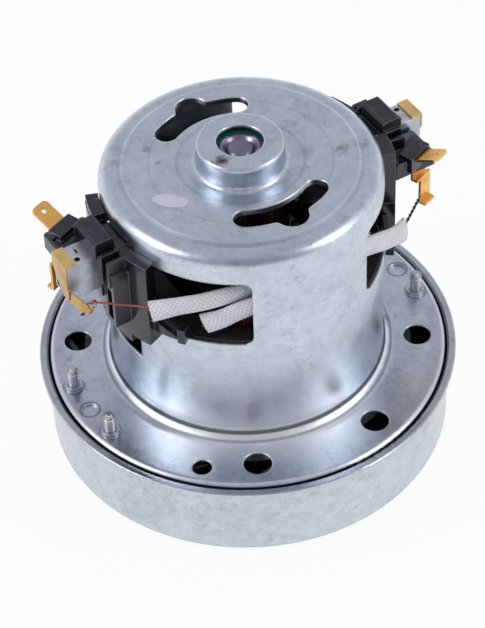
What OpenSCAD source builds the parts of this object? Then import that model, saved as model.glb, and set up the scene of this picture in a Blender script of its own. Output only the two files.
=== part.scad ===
// Vacuum cleaner motor unit: a universal motor in a drawn steel housing with
// a single stage suction fan below it. Millimetres, +Z up, Z is the shaft axis,
// X is the brush axis, and z = 0 is the underside of the fan case.

/* [Fan case] */
// Outer diameter of the fan case wall
case_d = 125.4; // [120:0.2:134]
// Height of the fan case up to the top of its lip
case_h = 28; // [27:0.5:34]
// Sheet thickness of the fan case
case_t = 0.8; // [0.6:0.1:1.2]
// How far the lip stands out from the case wall
lip_w = 2.3; // [1.8:0.1:3.5]
// Height of the hemmed lip
lip_h = 1.6; // [1.2:0.1:2.4]
// Rounding of the bottom edge of the case
case_edge_r = 2.5; // [1.5:0.1:5]
// Clear diameter of the air inlet
inlet_d = 36; // [32:0.5:40]
// Height of the rolled collar round the inlet
inlet_h = 4.5; // [3.5:0.1:6]

/* [Motor housing] */
// Outer diameter of the can
can_d = 84.5; // [80:0.5:90]
// Height of the can from the flange face to its outer top band
can_h = 72.8; // [70:0.2:84]
// Sheet thickness of the housing
can_t = 1; // [0.8:0.1:1.4]
// Rounding of the can's shoulder
shoulder_r = 4.5; // [3:0.5:7]
// Fillet between the can and the flange
root_r = 4.5; // [2:0.5:6]
// Height of the flange face above the lip of the fan case
flange_lift = 0.6; // [0.2:0.1:2]
// Depth of the flange's turned down rim
rim_h = 7; // [5:0.5:9]
// Rounding of the flange's outer edge
flange_edge_r = 1.6; // [1.4:0.1:2.5]
// Diameter of the raised crown on the top plate
crown_d = 71.4; // [70.6:0.2:74]
// Height of the raised crown
crown_h = 0.9; // [0.4:0.1:1.6]
// Diameter of the shallow dish round the bearing boss
dish_d = 37.2; // [34:0.2:42]
// Depth of the shallow dish
dish_h = 0.4; // [0.2:0.1:0.8]
// Outer diameter of the bearing boss
boss_d = 26.4; // [25.6:0.1:30]
// Height of the bearing boss above the crown
boss_h = 7.7; // [7:0.1:10]
// Diameter of the hole in the boss
boss_hole_d = 14; // [12:0.5:16]

/* [Windows in the can] */
// Half angle of each side window, seen from the shaft
window_angle = 62.5; // [56:0.5:66]
// Height of the window's top edge above the brush axis
window_up = 5; // [3:0.1:6]
// Depth of the window's bottom edge below the brush axis
window_down = 19.3; // [17:0.1:22]
// Corner rounding of the windows
window_r = 3; // [2:0.5:5]
// Width of the throat in the middle of each window
throat_w = 16.8; // [16:0.1:19]
// Height of the throat's top edge above the brush axis
throat_up = 8.2; // [7.6:0.1:9]
// Depth of the throat's bottom edge below the brush axis
throat_down = 36.8; // [32:0.1:40]

/* [Holes in the housing] */
// Radius of the circle that the keyhole slots follow
keyhole_r = 25.3; // [24:0.1:26.5]
// Width of the keyhole slots
keyhole_w = 7.2; // [5:0.1:8]
// Half angle between the end centres of a keyhole slot
keyhole_angle = 28.6; // [20:0.2:36]
// Diameter of the round lobe of a keyhole
lobe_d = 10; // [8:0.5:11]
// Distance of the lobe's centre from the shaft
lobe_r = 28.2; // [27:0.1:29]
// Diameter of the large flange holes
flange_hole_d = 8.6; // [6:0.1:9.4]
// Distance of the large holes' centres from the flange's edge
flange_hole_in = 8.85; // [8:0.05:9.6]
// Angle of the middle large hole from the brush axis
flange_hole_angle = -75; // [-85:1:-65]
// Angle between neighbouring large holes
flange_hole_step = 43.3; // [36:0.1:46]
// Diameter of the small flange holes
small_hole_d = 6; // [4:0.1:6.6]
// Distance of the small holes' centres from the flange's edge
small_hole_in = 6.15; // [5.6:0.05:7.4]
// Angle of the small flange hole from the brush axis
small_hole_angle = -135.7; // [-140:0.1:-132]
// Distance of the fan screws from the flange's edge
screw_in = 5.05; // [4.8:0.05:5.6]
// Angle of the fan screws from the brush axis
screw_angle = 11.5; // [9:0.1:14]
// Diameter of the fan screws
screw_d = 3.5; // [3:0.1:4]
// How far the screw tips stand above the flange
screw_tip = 8; // [4:0.5:10]
// Diameter of the locating pips between the screws
pip_d = 5.4; // [4:0.1:6]

/* [Shaft and bearings] */
// Diameter of the shaft at the bearings
shaft_d = 8; // [7:0.1:9]
// Outer diameter of the ball bearings
bearing_d = 22; // [21:0.1:23]
// Width of the ball bearings
bearing_w = 7; // [6.5:0.1:8]
// Number of balls in each bearing
balls = 7; // [6:1:8]

/* [Armature and stator] */
// Diameter of the armature core
armature_d = 38; // [35:0.5:40]
// Number of armature slots
slots = 12; // [10:1:14]
// Air gap between armature and pole shoes
air_gap = 0.5; // [0.4:0.05:1]
// Diameter of the commutator
commutator_d = 24.4; // [22:0.2:26]
// Number of commutator bars
bars = 24; // [20:1:28]
// Height of the armature's end windings
end_winding_h = 7.2; // [5:0.1:9]
// Width of one side of a field coil
coil_w = 6.7; // [5:0.1:7.5]

/* [Fan] */
// Radial gap between the impeller and the fan case
impeller_gap = 6.9; // [6.5:0.1:9]
// Number of impeller blades
blades = 9; // [7:1:11]
// Blade height at the outlet
blade_out_h = 6.7; // [5:0.1:7]
// Blade height at the inlet
blade_in_h = 9.6; // [8:0.1:10]
// Number of diffuser vanes
vanes = 15; // [11:1:17]
// Gap between the impeller and the floor of the fan case
floor_gap = 1.85; // [1:0.05:4]

/* [Brush gear] */
// Depth of the brush axis below the crown
brush_drop = 15; // [14.5:0.1:17]
// Width of the carbon brush
brush_w = 6.5; // [5:0.1:7]
// Height of the carbon brush
brush_h = 11; // [9:0.1:11.4]
// Length of the carbon brush
brush_l = 24; // [18:0.5:28]
// Sheet thickness of the brush tube
tube_t = 0.7; // [0.5:0.05:0.9]
// How far the brush tube reaches out of the can
tube_reach = 18.8; // [17:0.1:21]
// Turns of the brush spring
spring_turns = 9; // [6:1:10]
// Half angle of the holder's saddle
saddle_angle = 22.3; // [20:0.1:24]
// Wall thickness of the holder's saddle
saddle_t = 4.2; // [3.5:0.1:4.6]
// Height of the holder's tower above the brush axis
tower_up = 11.9; // [10:0.1:13]

/* [Terminals] */
// Width of the terminal tabs
tab_w = 6.3; // [4.8:0.1:6.6]
// Thickness of the terminal tabs
tab_t = 0.8; // [0.5:0.1:1]
// Length of the tab in front of its bend
tab_l = 11.5; // [9:0.1:13]
// Upward slope of the tab
tab_slope = 26; // [15:1:35]

/* [Hidden] */
$fn = 96;
// Clearances
fit_gap = 0.05;
seat_gap = 0.1;
slide_gap = 0.15;
run_gap = 0.3;
cut = 1;
// Step where one rounding runs into another
hair = 0.04;

// Levels, from the fan case up
flange_z = case_h + flange_lift;
under_z = flange_z - can_t;
rim_low = flange_z - rim_h;
band_z = flange_z + can_h;
crown_z = band_z + crown_h;
base_z = crown_z - dish_h;
top_z = crown_z + boss_h;
brush_z = crown_z - brush_drop;

// Radii of the sheet metal
case_r = case_d / 2;
case_in_r = case_r - case_t;
inlet_r = inlet_d / 2;
inlet_roll_r = 2.5;
flange_r = case_in_r - fit_gap;
can_r = can_d / 2;
can_in_r = can_r - can_t;
crown_r = crown_d / 2;
crown_slope = 0.8;
dish_r = dish_d / 2;
boss_r = boss_d / 2;
boss_edge_r = can_t + 0.3;
boss_root_r = 1.8;
boss_in_r = boss_r - can_t;
collar_h = 1.2;
collar_t = 1.15;
pip_h = 0.7;
keyhole_fillet = 1.5;
keyhole_rim_t = 0.9;
keyhole_rim_h = 1;
pip_r = flange_r - 5.45;

// Lower bearing bracket
bracket_t = 1.2;
bracket_z = under_z - bracket_t;
bracket_r = can_r + root_r + 4.2;
ear_r = flange_r - can_t - 0.5;
ear_angle = screw_angle + 6;
cup_t = 1.1;
bearing_r = bearing_d / 2;
bearing_low_z = bracket_z - 0.35;
cup_r = bearing_r + fit_gap + cup_t;
cup_top = bearing_low_z + bearing_w + seat_gap + cup_t;

// Upper bearing
washer_room = 1.3;
bearing_top_z = top_z - can_t - washer_room - bearing_w;

// Bearing section
shaft_r = shaft_d / 2;
shaft_mid_r = shaft_r + 0.6;
ring_in_r = shaft_r + 2.05;
ring_out_r = bearing_r - 2;
pitch_r = (ring_in_r + ring_out_r) / 2;
ball_r = (ring_out_r - ring_in_r) / 2 + 0.45;
ball_gap = 0.1;
seal_t = 0.5;
ring_chamfer = 1;

// Armature, from the brush axis down and from the lower bearing up
commutator_r = commutator_d / 2;
bar_t = 3;
bar_gap = 0.5;
bar_over = 3;
riser_h = 1.5;
riser_t = 1.8;
winding_gap = 1;
liner = 0.3;
bar_low = brush_z - brush_h / 2 - bar_over;
bar_high = brush_z + brush_h / 2 + bar_over;
winding_high = bar_low - riser_h - winding_gap;
core_high = winding_high - end_winding_h - liner;
winding_low = cup_top + 1.9;
core_low = winding_low + end_winding_h + liner;
armature_r = armature_d / 2;
slot_r = 2.6;
slot_pitch_r = armature_r - slot_r - 2;
slot_mouth = 2;
winding_in_r = shaft_mid_r + 2.4;
winding_out_r = armature_r - 1.6;

// Stator
stator_r = can_in_r - fit_gap;
bore_r = armature_r + air_gap;
shoe_t = 4.5;
shoe_angle = 62;
neck_w = 22;
yoke_t = 5.2;
flat_depth = 8.2;
stator_flat = stator_r - flat_depth;
cavity_x = stator_flat - 6;
cavity_r = stator_r - yoke_t;
coil_x0 = neck_w / 2 + 0.8;
coil_x1 = coil_x0 + coil_w;
coil_y0 = sqrt(pow(bore_r + shoe_t, 2) - pow(coil_x0, 2)) + 0.5;
coil_y1 = sqrt(pow(cavity_r - 0.5, 2) - pow(coil_x1, 2));
coil_low = core_low - 0.5 - coil_w;
coil_high = core_high + 0.5 + coil_w;

// Fan: the return vanes take the height that the impeller leaves below the bracket
plate_t = 2;
clamp_t = 1.5;
clamp_gap = 1;
back_t = 0.8;
shroud_t = 0.8;
diffuser_top = bracket_z - fit_gap;
fan_top = case_t + floor_gap + shroud_t + blade_in_h + back_t + clamp_t;
vane_h = diffuser_top - plate_t - clamp_gap - fan_top;
plate_top = diffuser_top - vane_h;
plate_low = plate_top - plate_t;
diffuser_r = ear_r;
plate_r = diffuser_r - 3.1;
vane_t = 1.4;
vane_in_r = bracket_r - 6;
diffuser_bore_r = shaft_r + 5;
clamp_r = shaft_r + 10;
back_high = plate_low - clamp_gap - clamp_t;
back_low = back_high - back_t;
impeller_r = case_in_r - impeller_gap;
eye_r = inlet_r + 2;
shroud_out = back_low - blade_out_h;
shroud_in = back_low - blade_in_h;
blade_t = 0.7;
blade_centre_r = 0.55 * impeller_r;
blade_bend_r = 0.9 * blade_centre_r;
nut_h = 6;
nut_af = 13;
thread_r = shaft_r - 0.3;
shaft_low = back_low - clamp_t - nut_h - 0.8;
shaft_high = bearing_top_z + bearing_w - 0.2;

// Fan screws
screw_r = screw_d / 2;
screw_pitch_r = flange_r - screw_in;
head_r = screw_r + 1.45;
head_h = 2.3;
pillar_r = head_r + 1.4;
screw_top = flange_z + screw_tip;
screw_angles = [screw_angle, -screw_angle, 180 - screw_angle, 180 + screw_angle];

// Brush gear along +X; the gear on -X is the same one turned half round
tube_w = brush_w + 2 * slide_gap + 2 * tube_t;
tube_h = brush_h + 2 * slide_gap + 2 * tube_t;
tube_x0 = commutator_r + 3.8;
tube_x1 = can_r + tube_reach;
brush_x0 = commutator_r + run_gap;
brush_x1 = brush_x0 + brush_l;
spring_wire = 0.7;
spring_r = (min(brush_w, brush_h) - spring_wire) / 2 - 0.3;
spring_end = 0.1;
tube_top = brush_z + tube_h / 2;
tube_low = brush_z - tube_h / 2;
saddle_r0 = can_r + seat_gap;
saddle_r1 = saddle_r0 + saddle_t;
saddle_high = brush_z + 7.2;
saddle_low = brush_z - 23.3;
chin_low = brush_z - 28.3;
guide_wall = 1.2;
tower_x0 = can_r + 3.6;
tower_x1 = can_r + 10.1;
tower_shift = -0.7;
guide_x0 = tube_x0 + 1.6;
ear_up = 2.5;
ear_from = 10;
clip_angle = saddle_angle + 11;
clip_t = 3;
clip_z = brush_z - window_down + 0.2;
tower_w = tube_w + 3.6;
tower_high = brush_z + tower_up;
tongue_x0 = stator_flat + 4;

// Terminal beside the tower, turned a little from the brush axis
block_y0 = tower_w / 2;
block_y1 = block_y0 + 10.3;
block_x1 = can_r + 15.8;
block_low = brush_z - 2.7;
block_high = brush_z + 2.9;
tab_turn = 21;
tab_x = can_r + 9.7;
tab_y = -(block_y1 - 2.3);
tab_z = block_high - 0.8;
socket_t = 1.4;
socket_l = 2.6;
socket_h = 2.6;
tail_shift = 2.5;
tail_neck = brush_z - 7;
foot_w = tab_w - 1.4;
foot_x = tail_shift + 1.3;
foot_y = -1.6;
foot_low = brush_z - 17.6;
tab_hole_r = 0.8;
function tab_point(v) = [tab_x + v[0] * cos(tab_turn) - v[1] * sin(tab_turn),
  tab_y + v[0] * sin(tab_turn) + v[1] * cos(tab_turn), v[2]];

// Cap strap and lug at the outer end of the brush tube
cap_t = 0.6;
cap_over = 3;
cap_x = tube_x1 + fit_gap;
lug_low = brush_z - 6;
lug_h = 4;
lug_bend_y = tube_w / 2 + 0.6;
lug_l = 5.4;
lug_turn = 25;
lug_fall = 24;
hook_r = 0.9;
function lug_point(v) =
  let (y = v[1] * cos(lug_fall) + v[2] * sin(lug_fall), z = v[2] * cos(lug_fall) - v[1] * sin(lug_fall))
  [cap_x + v[0] * cos(lug_turn) - y * sin(lug_turn), lug_bend_y + v[0] * sin(lug_turn) + y * cos(lug_turn),
    lug_low + z];

// Leads of the front coil. A route point is how far it lies outside the can, its angle, and its height
// over the brush axis; the last two points of a sleeve stand on the coil
sleeve_wide = 6.4;
sleeve_thick = 2.5;
mouth_flare = 0.18;
sleeve_seat = 1;
sleeve_drop = 3.4;
wire_d = 0.8;
coil_mid_y = -(coil_y0 + coil_y1) / 2;
function unit(v) = v / norm(v);
function at_can(q) = [(can_r + q[0]) * cos(q[1]), (can_r + q[0]) * sin(q[1]), brush_z + q[2]];
function to_coil(x) = [[x, coil_mid_y, coil_high + sleeve_drop], [x, coil_mid_y, coil_high + sleeve_seat]];
function sleeve_route(list, x) = concat([for (q = list) at_can(q)], to_coil(x));
sleeve_a = sleeve_route([[5.8, -155.1, -6.9], [1.7, -147.2, -5.5], [-1.6, -137.6, -4.4],
  [-4.7, -127.3, -3.6], [-6.9, -116.6, -3.9], [-9.3, -107.7, -6.5]], -8);
sleeve_b = sleeve_route([[-1.8, -137.8, -13.3], [-2.6, -130.9, -11.3], [-3, -123.4, -8.3],
  [-3, -114.1, -5.7], [-3.2, -103.3, -5.5], [-5.1, -94.6, -6.6]], 0.4);
sleeve_c = sleeve_route([[6.5, -25.8, -18.5], [4.3, -31.3, -15.9], [1.2, -39.8, -12.1], [-1.1, -48.9, -7.9],
  [-3.1, -59.2, -4.7], [-5.7, -68.5, -5.3], [-9.9, -73.1, -6.9]], 8.4);
// Point in front of a sleeve's outer end, high on its mouth
function mouth(p, out, up) = p[0] + out * unit(p[0] - p[1]) + [0, 0, up];
lug_eye = lug_point([-hook_r, lug_l, lug_h / 2]);
lug_over = lug_point([-hook_r, lug_l, lug_h + 0.9]);
wire_a = [[-lug_eye[0], -lug_eye[1], lug_eye[2]], [-lug_over[0], -lug_over[1], lug_over[2]],
  mouth(sleeve_a, 0.7, 1.2) + [-2, 1, 0.2], mouth(sleeve_a, 0.7, 1.2)];
wire_c = [tab_point([foot_x - foot_w / 2 - wire_d / 2 - seat_gap, foot_y, foot_low + 2]),
  mouth(sleeve_c, 1.4, 2.2) + [1.6, 1, 0], mouth(sleeve_c, 1.4, 2.2)];

// Colours
steel = [0.72, 0.74, 0.78];
dark_steel = [0.45, 0.46, 0.5];
black = [0.13, 0.13, 0.15];
brass = [0.85, 0.66, 0.3];
copper = [0.72, 0.4, 0.2];
resin = [0.35, 0.2, 0.12];
carbon = [0.22, 0.22, 0.23];
sleeve_white = [0.93, 0.9, 0.88];
teal = [0.05, 0.45, 0.4];

// Helpers

// Turns children half round for the gear on the far side
module far_side() {
  rotate([0, 0, 180])
    children();
}

// Part of a ring between two radii, two angles and two heights
module ring_sector(r0, r1, a0, a1, z0, z1) {
  translate([0, 0, z0])
    rotate([0, 0, a0])
      rotate_extrude(angle = a1 - a0)
        translate([r0, 0])
          square([r1 - r0, z1 - z0]);
}

// Flat ring from z0 to z1
module ring(r0, r1, z0, z1) {
  rotate_extrude()
    translate([r0, z0])
      square([r1 - r0, z1 - z0]);
}

// Box between two corners
module box(low, high) {
  translate(low)
    cube(high - low);
}

// Rectangle with rounded corners, from its lower left corner
module round_rect(w, h, r) {
  translate([r, 0])
    square([w - 2 * r, h]);
  translate([0, r])
    square([w, h - 2 * r]);
  for (x = [r, w - r], y = [r, h - r])
    translate([x, y])
      circle(r);
}

// Rectangle in the x and z plane with its upper corners cut off, made into a bar along y
module topped_bar(x0, x1, y0, y1, z0, z1, c) {
  translate([0, y1, 0])
    rotate([90, 0, 0])
      linear_extrude(y1 - y0)
        polygon([[x0, z0], [x1, z0], [x1, z1 - c], [x1 - c, z1], [x0 + c, z1], [x0, z1 - c]]);
}

// Smooth curve through route points
function blend(p, i, t) =
  let (a = p[max(i - 1, 0)], b = p[i], c = p[i + 1], d = p[min(i + 2, len(p) - 1)])
  0.5 * (2 * b + (c - a) * t + (2 * a - 5 * b + 4 * c - d) * t * t + (3 * b - a - 3 * c + d) * t * t * t);
function route(p, steps) =
  concat([for (i = [0:len(p) - 2], s = [0:steps - 1]) blend(p, i, s / steps)], [p[len(p) - 1]]);
function along(p, i) = unit(p[min(i + 1, len(p) - 1)] - p[max(i - 1, 0)]);
// Thin direction of a flat sleeve: away from the shaft, square to the route
function thin_way(p, i) = let (t = along(p, i), w = [p[i][0], p[i][1], 0]) unit(w - (w * t) * t);
function ring_at(p, i, a, b, n) =
  let (u = thin_way(p, i), v = cross(along(p, i), u))
  [for (k = [0:n - 1]) p[i] + a * cos(360 * k / n) * u + b * sin(360 * k / n) * v];
function tube_faces(m, n) = concat(
  [for (i = [0:m - 2], k = [0:n - 1]) [i * n + k, i * n + (k + 1) % n, (i + 1) * n + k]],
  [for (i = [0:m - 2], k = [0:n - 1]) [i * n + (k + 1) % n, (i + 1) * n + (k + 1) % n, (i + 1) * n + k]],
  [for (k = [1:n - 2]) [0, k + 1, k]],
  [for (k = [1:n - 2]) [(m - 1) * n, (m - 1) * n + k, (m - 1) * n + k + 1]]);

// Tube of oval section along a route: half thickness a, half width b, wider by the flare at its start
module sweep(p, a, b, n, flare) {
  m = len(p);
  rings = [for (i = [0:m - 1]) each ring_at(p, i, a, b * (1 + flare * max(0, 1 - i / 4)), n)];
  polyhedron(points = rings, faces = tube_faces(m, n));
}

// Sheet metal housing

// Section of everything inside the housing's skin, with the skin moved in by d
module housing_fill(d) {
  low = rim_low - d;
  translate([0, low])
    square([can_r - d, band_z - shoulder_r - low]);
  translate([0, low])
    square([can_r - shoulder_r, band_z - d - low]);
  translate([can_r - shoulder_r, band_z - shoulder_r])
    circle(shoulder_r - d);
  polygon([[0, low], [crown_r + crown_slope, low], [crown_r + crown_slope, band_z - d],
    [crown_r - crown_slope, crown_z - d], [dish_r, crown_z - d],
    [boss_r + boss_root_r, base_z - d], [0, base_z - d]]);
  translate([0, low])
    square([boss_r - d, top_z - boss_edge_r - low]);
  translate([0, low])
    square([boss_r - boss_edge_r, top_z - d - low]);
  translate([boss_r - boss_edge_r, top_z - boss_edge_r])
    circle(boss_edge_r - d);
  inner_fillet(boss_r, base_z, boss_root_r, d);
  inner_fillet(can_r, flange_z, root_r, d);
  translate([0, low])
    square([flange_r - d, flange_z - flange_edge_r - low]);
  translate([0, low])
    square([flange_r - flange_edge_r, flange_z - d - low]);
  translate([flange_r - flange_edge_r, flange_z - flange_edge_r])
    circle(flange_edge_r - d);
}

// Fillet between a wall at radius r and a floor at height z
module inner_fillet(r, z, f, d) {
  difference() {
    translate([r - d - cut, z - d - cut])
      square([f + d + cut, f + d + cut]);
    translate([r + f, z + f])
      circle(f + d);
  }
}

// One side window: an arc of the can wall with rounded ends, and the throat in its middle
module window_cut() {
  r0 = can_r - 4;
  r1 = can_r + 4;
  low = brush_z - window_down;
  high = brush_z + window_up;
  end = window_angle - asin(window_r / can_r);
  ring_sector(r0, r1, -end, end, low, high);
  for (side = [0, 1])
    mirror([0, side, 0])
      rotate([0, 0, end])
        translate([r0, 0, 0])
          rotate([90, 0, 90])
            linear_extrude(r1 - r0)
              window_end(low, high);
  box([r0 - 4, -throat_w / 2, brush_z - throat_down], [r1, throat_w / 2, brush_z + throat_up]);
}

// Rounded end of a window, in the developed wall, a hair lower than the window
module window_end(low, high) {
  r = window_r - hair;
  translate([-r, low + window_r])
    square([2 * r, high - low - 2 * window_r]);
  for (z = [low + window_r, high - window_r])
    translate([0, z])
      circle(r);
}

// Keyhole outline from above, grown by g: an arc with round ends and a lobe outside its middle
module keyhole_shape(g) {
  half = keyhole_w / 2 + g;
  lobe = lobe_d / 2 + g;
  fillet = keyhole_fillet - g;
  reach = keyhole_r + half + fillet;
  y = (pow(reach, 2) - pow(lobe + fillet, 2) + pow(lobe_r, 2)) / (2 * lobe_r);
  x = sqrt(pow(reach, 2) - pow(y, 2));
  far = 2 * keyhole_r;
  intersection() {
    difference() {
      circle(keyhole_r + half);
      circle(keyhole_r - half);
    }
    polygon([[0, 0], [far * tan(keyhole_angle), far], [-far * tan(keyhole_angle), far]]);
  }
  for (side = [-1, 1]) {
    rotate(side * keyhole_angle)
      translate([0, keyhole_r])
        circle(half - hair);
    difference() {
      polygon([[0, lobe_r], [side * x, y], [side * x, y] * keyhole_r / reach]);
      translate([side * x, y])
        circle(fillet - hair);
    }
  }
  translate([0, lobe_r])
    circle(lobe);
}

// Sheet turned down round a keyhole
module keyhole_rim() {
  translate([0, 0, crown_z - can_t - keyhole_rim_h])
    linear_extrude(keyhole_rim_h + can_t / 2)
      keyhole_shape(keyhole_rim_t);
}

module keyhole_cut() {
  low = crown_z - can_t - keyhole_rim_h - cut;
  translate([0, 0, low])
    linear_extrude(crown_z + cut - low)
      keyhole_shape(0);
}

module flange_hole(angle, inset, d) {
  rotate([0, 0, angle])
    translate([flange_r - inset, 0, under_z - cut])
      cylinder(d = d, h = can_t + 2 * cut);
}

module motor_housing() {
  color(steel)
    difference() {
      union() {
        rotate_extrude()
          difference() {
            housing_fill(0);
            housing_fill(can_t);
            square([boss_hole_d / 2, top_z + cut]);
          }
        for (a = screw_angles)
          rotate([0, 0, a])
            translate([screw_pitch_r, 0, flange_z - can_t / 2])
              cylinder(r = screw_r + collar_t, h = collar_h + can_t / 2);
        for (a = [0, 180])
          rotate([0, 0, a]) {
            translate([pip_r, 0, under_z - pip_h])
              cylinder(d = pip_d, h = pip_h + can_t / 2);
            keyhole_rim();
          }
      }
      for (a = [0, 180])
        rotate([0, 0, a]) {
          window_cut();
          keyhole_cut();
          for (i = [-1:1])
            flange_hole(flange_hole_angle + i * flange_hole_step, flange_hole_in, flange_hole_d);
          flange_hole(small_hole_angle, small_hole_in, small_hole_d);
          translate([pip_r, 0, flange_z - pip_h])
            cylinder(d = pip_d - 0.3, h = pip_h + cut);
        }
      for (a = screw_angles)
        rotate([0, 0, a])
          translate([screw_pitch_r, 0, under_z - cut])
            cylinder(r = screw_r + fit_gap, h = can_t + collar_h + 2 * cut);
    }
}

// Fan case: drawn cup with a hemmed lip and a rolled inlet
module fan_cover() {
  color(steel)
    rotate_extrude()
      difference() {
        union() {
          translate([0, case_edge_r])
            square([case_r, case_h - lip_h / 2 - case_edge_r]);
          square([case_r - case_edge_r, case_h - lip_h]);
          translate([case_r - case_edge_r, case_edge_r])
            circle(case_edge_r);
          translate([case_r - 3, case_h - lip_h])
            round_rect(lip_w + 3, lip_h, 0.5);
        }
        cover_hollow();
        inlet_mouth();
      }
}

// Inside of the fan case, with the lip's inner edge rounded
module cover_hollow() {
  edge = max(case_edge_r - case_t, 0.3);
  flare = 1.5;
  difference() {
    union() {
      translate([0, case_t + edge])
        square([case_in_r, case_h]);
      translate([0, case_t])
        square([case_in_r - edge, case_h]);
      translate([case_in_r - edge, case_t + edge])
        circle(edge);
    }
    inlet_collar();
  }
  difference() {
    translate([case_in_r - cut, case_h - flare])
      square([flare + cut, flare + cut]);
    translate([case_in_r + flare, case_h - flare])
      circle(flare);
  }
}

// Rolled collar that the inlet keeps inside the case
module inlet_collar() {
  translate([inlet_r, inlet_roll_r])
    square([case_t, inlet_h - inlet_roll_r]);
  difference() {
    translate([inlet_r, 0])
      square([inlet_roll_r, inlet_roll_r]);
    translate([inlet_r + inlet_roll_r, inlet_roll_r])
      circle(inlet_roll_r - case_t);
  }
}

// Air way through the inlet, bell mouthed below
module inlet_mouth() {
  translate([0, -cut])
    square([inlet_r, inlet_h + 2 * cut]);
  difference() {
    translate([inlet_r - cut, -cut])
      square([inlet_roll_r + cut, inlet_roll_r + cut]);
    translate([inlet_r + inlet_roll_r, inlet_roll_r])
      circle(inlet_roll_r);
  }
}

// Bearing bracket: plate with spokes, two screw ears and the lower bearing's cup
module bearing_bracket() {
  window_in_r = cup_r + 3.6;
  window_out_r = can_in_r - 1.4;
  arm_w = 9;
  lip_in_r = ring_in_r + 3;
  color(steel) {
    difference() {
      union() {
        translate([0, 0, bracket_z])
          linear_extrude(bracket_t)
            difference() {
              circle(bracket_r);
              circle(bearing_r + fit_gap);
              difference() {
                circle(window_out_r);
                circle(window_in_r);
                for (a = [45, 135])
                  rotate(a)
                    square([2 * bracket_r, arm_w], center = true);
              }
            }
        for (a = [0, 180])
          ring_sector(bracket_r - 1, ear_r, a - ear_angle, a + ear_angle, bracket_z, bracket_z + bracket_t);
        ring(bearing_r + fit_gap, cup_r, bracket_z, cup_top);
        ring(lip_in_r, cup_r, cup_top - cup_t, cup_top);
      }
      for (a = screw_angles)
        rotate([0, 0, a])
          translate([screw_pitch_r, 0, bracket_z - cut])
            cylinder(r = screw_r + 2 * seat_gap, h = bracket_t + 2 * cut);
      for (a = [0, 180])
        rotate([0, 0, a])
          translate([pip_r, 0, bracket_z - cut])
            cylinder(r = pip_d / 2 + seat_gap, h = bracket_t + 2 * cut);
    }
  }
}

// Curved band between two radii, bending away from the way the fan turns
module curved_vane(r0, r1, centre_r, bend_r, t) {
  intersection() {
    translate([centre_r, 0])
      difference() {
        circle(bend_r + t / 2);
        circle(bend_r - t / 2);
      }
    difference() {
      circle(r1);
      circle(r0);
    }
    translate([-2 * r1, 0])
      square([4 * r1, 2 * r1]);
  }
}

// Plan of the diffuser's vanes between two radii
module vane_plan(r0, r1, t) {
  centre_r = 0.55 * diffuser_r;
  for (i = [0:vanes - 1])
    rotate(360 * i / vanes)
      curved_vane(r0, r1, centre_r, 0.9 * centre_r, t);
}

// Plan of a disc round each fan screw
module screw_plan(r) {
  for (a = screw_angles)
    rotate(a)
      translate([screw_pitch_r, 0])
        circle(r);
}

// Diffuser: plate above the impeller with vanes that lead the air back to the motor
module diffuser() {
  outer_low = plate_low - 5;
  step = 0.4;
  color([0.3, 0.31, 0.33])
    difference() {
      union() {
        ring(diffuser_bore_r, plate_r, plate_low, plate_top);
        translate([0, 0, plate_low + step])
          linear_extrude(diffuser_top - plate_low - step) {
            vane_plan(vane_in_r, diffuser_r, vane_t);
            intersection() {
              circle(diffuser_r - step);
              screw_plan(pillar_r);
            }
          }
        translate([0, 0, outer_low])
          linear_extrude(plate_low - outer_low + 2 * step)
            difference() {
              vane_plan(impeller_r + 1.2, diffuser_r - step, vane_t - step);
              screw_plan(pillar_r + step);
            }
      }
      translate([0, 0, outer_low])
        linear_extrude(plate_low + head_h + seat_gap - outer_low)
          screw_plan(head_r + 0.15);
      translate([0, 0, plate_low])
        linear_extrude(diffuser_top - plate_low + cut)
          screw_plan(screw_r + seat_gap);
    }
}

// Four screws from below, their tips standing out of the flange
module diffuser_screws() {
  tip_l = 2;
  color(dark_steel)
    for (a = screw_angles)
      rotate([0, 0, a])
        translate([screw_pitch_r, 0, 0])
          rotate_extrude()
            polygon([[0, plate_low], [head_r - 0.8, plate_low], [head_r, plate_low + 0.9],
              [head_r, plate_low + head_h], [screw_r, plate_low + head_h],
              [screw_r, screw_top - tip_l], [screw_r - 0.7, screw_top], [0, screw_top]]);
}

// Motor

// Two pole lamination stack with flats that leave room for the air
module stator_core() {
  color(dark_steel)
    translate([0, 0, core_low])
      linear_extrude(core_high - core_low)
        difference() {
          union() {
            difference() {
              intersection() {
                circle(stator_r);
                square([2 * stator_flat, 2 * can_r], center = true);
              }
              intersection() {
                circle(cavity_r);
                square([2 * cavity_x, 2 * can_r], center = true);
              }
            }
            square([neck_w, 2 * (cavity_r + 1)], center = true);
            for (a = [90, -90])
              rotate(a)
                pole_shoe();
          }
          circle(bore_r);
        }
}

// Pole shoe: an arc of shoe_t round the bore
module pole_shoe() {
  far = 2 * (bore_r + shoe_t);
  difference() {
    intersection() {
      circle(bore_r + shoe_t);
      polygon([[0, 0], [far, -far * tan(shoe_angle)], [far, far * tan(shoe_angle)]]);
    }
    circle(bore_r);
  }
}

// Field coil: a racetrack of wire round one pole neck
module field_coil() {
  h = coil_high - coil_low;
  translate([0, -coil_y0, 0])
    rotate([90, 0, 0])
      linear_extrude(coil_y1 - coil_y0)
        difference() {
          translate([-coil_x1, coil_low])
            round_rect(2 * coil_x1, h, coil_w);
          translate([-coil_x0, coil_low + coil_w])
            round_rect(2 * coil_x0, h - 2 * coil_w, 0.6);
        }
}

module field_coil_front() {
  color(copper)
    field_coil();
}

module field_coil_rear() {
  color(copper)
    far_side()
      field_coil();
}

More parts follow.
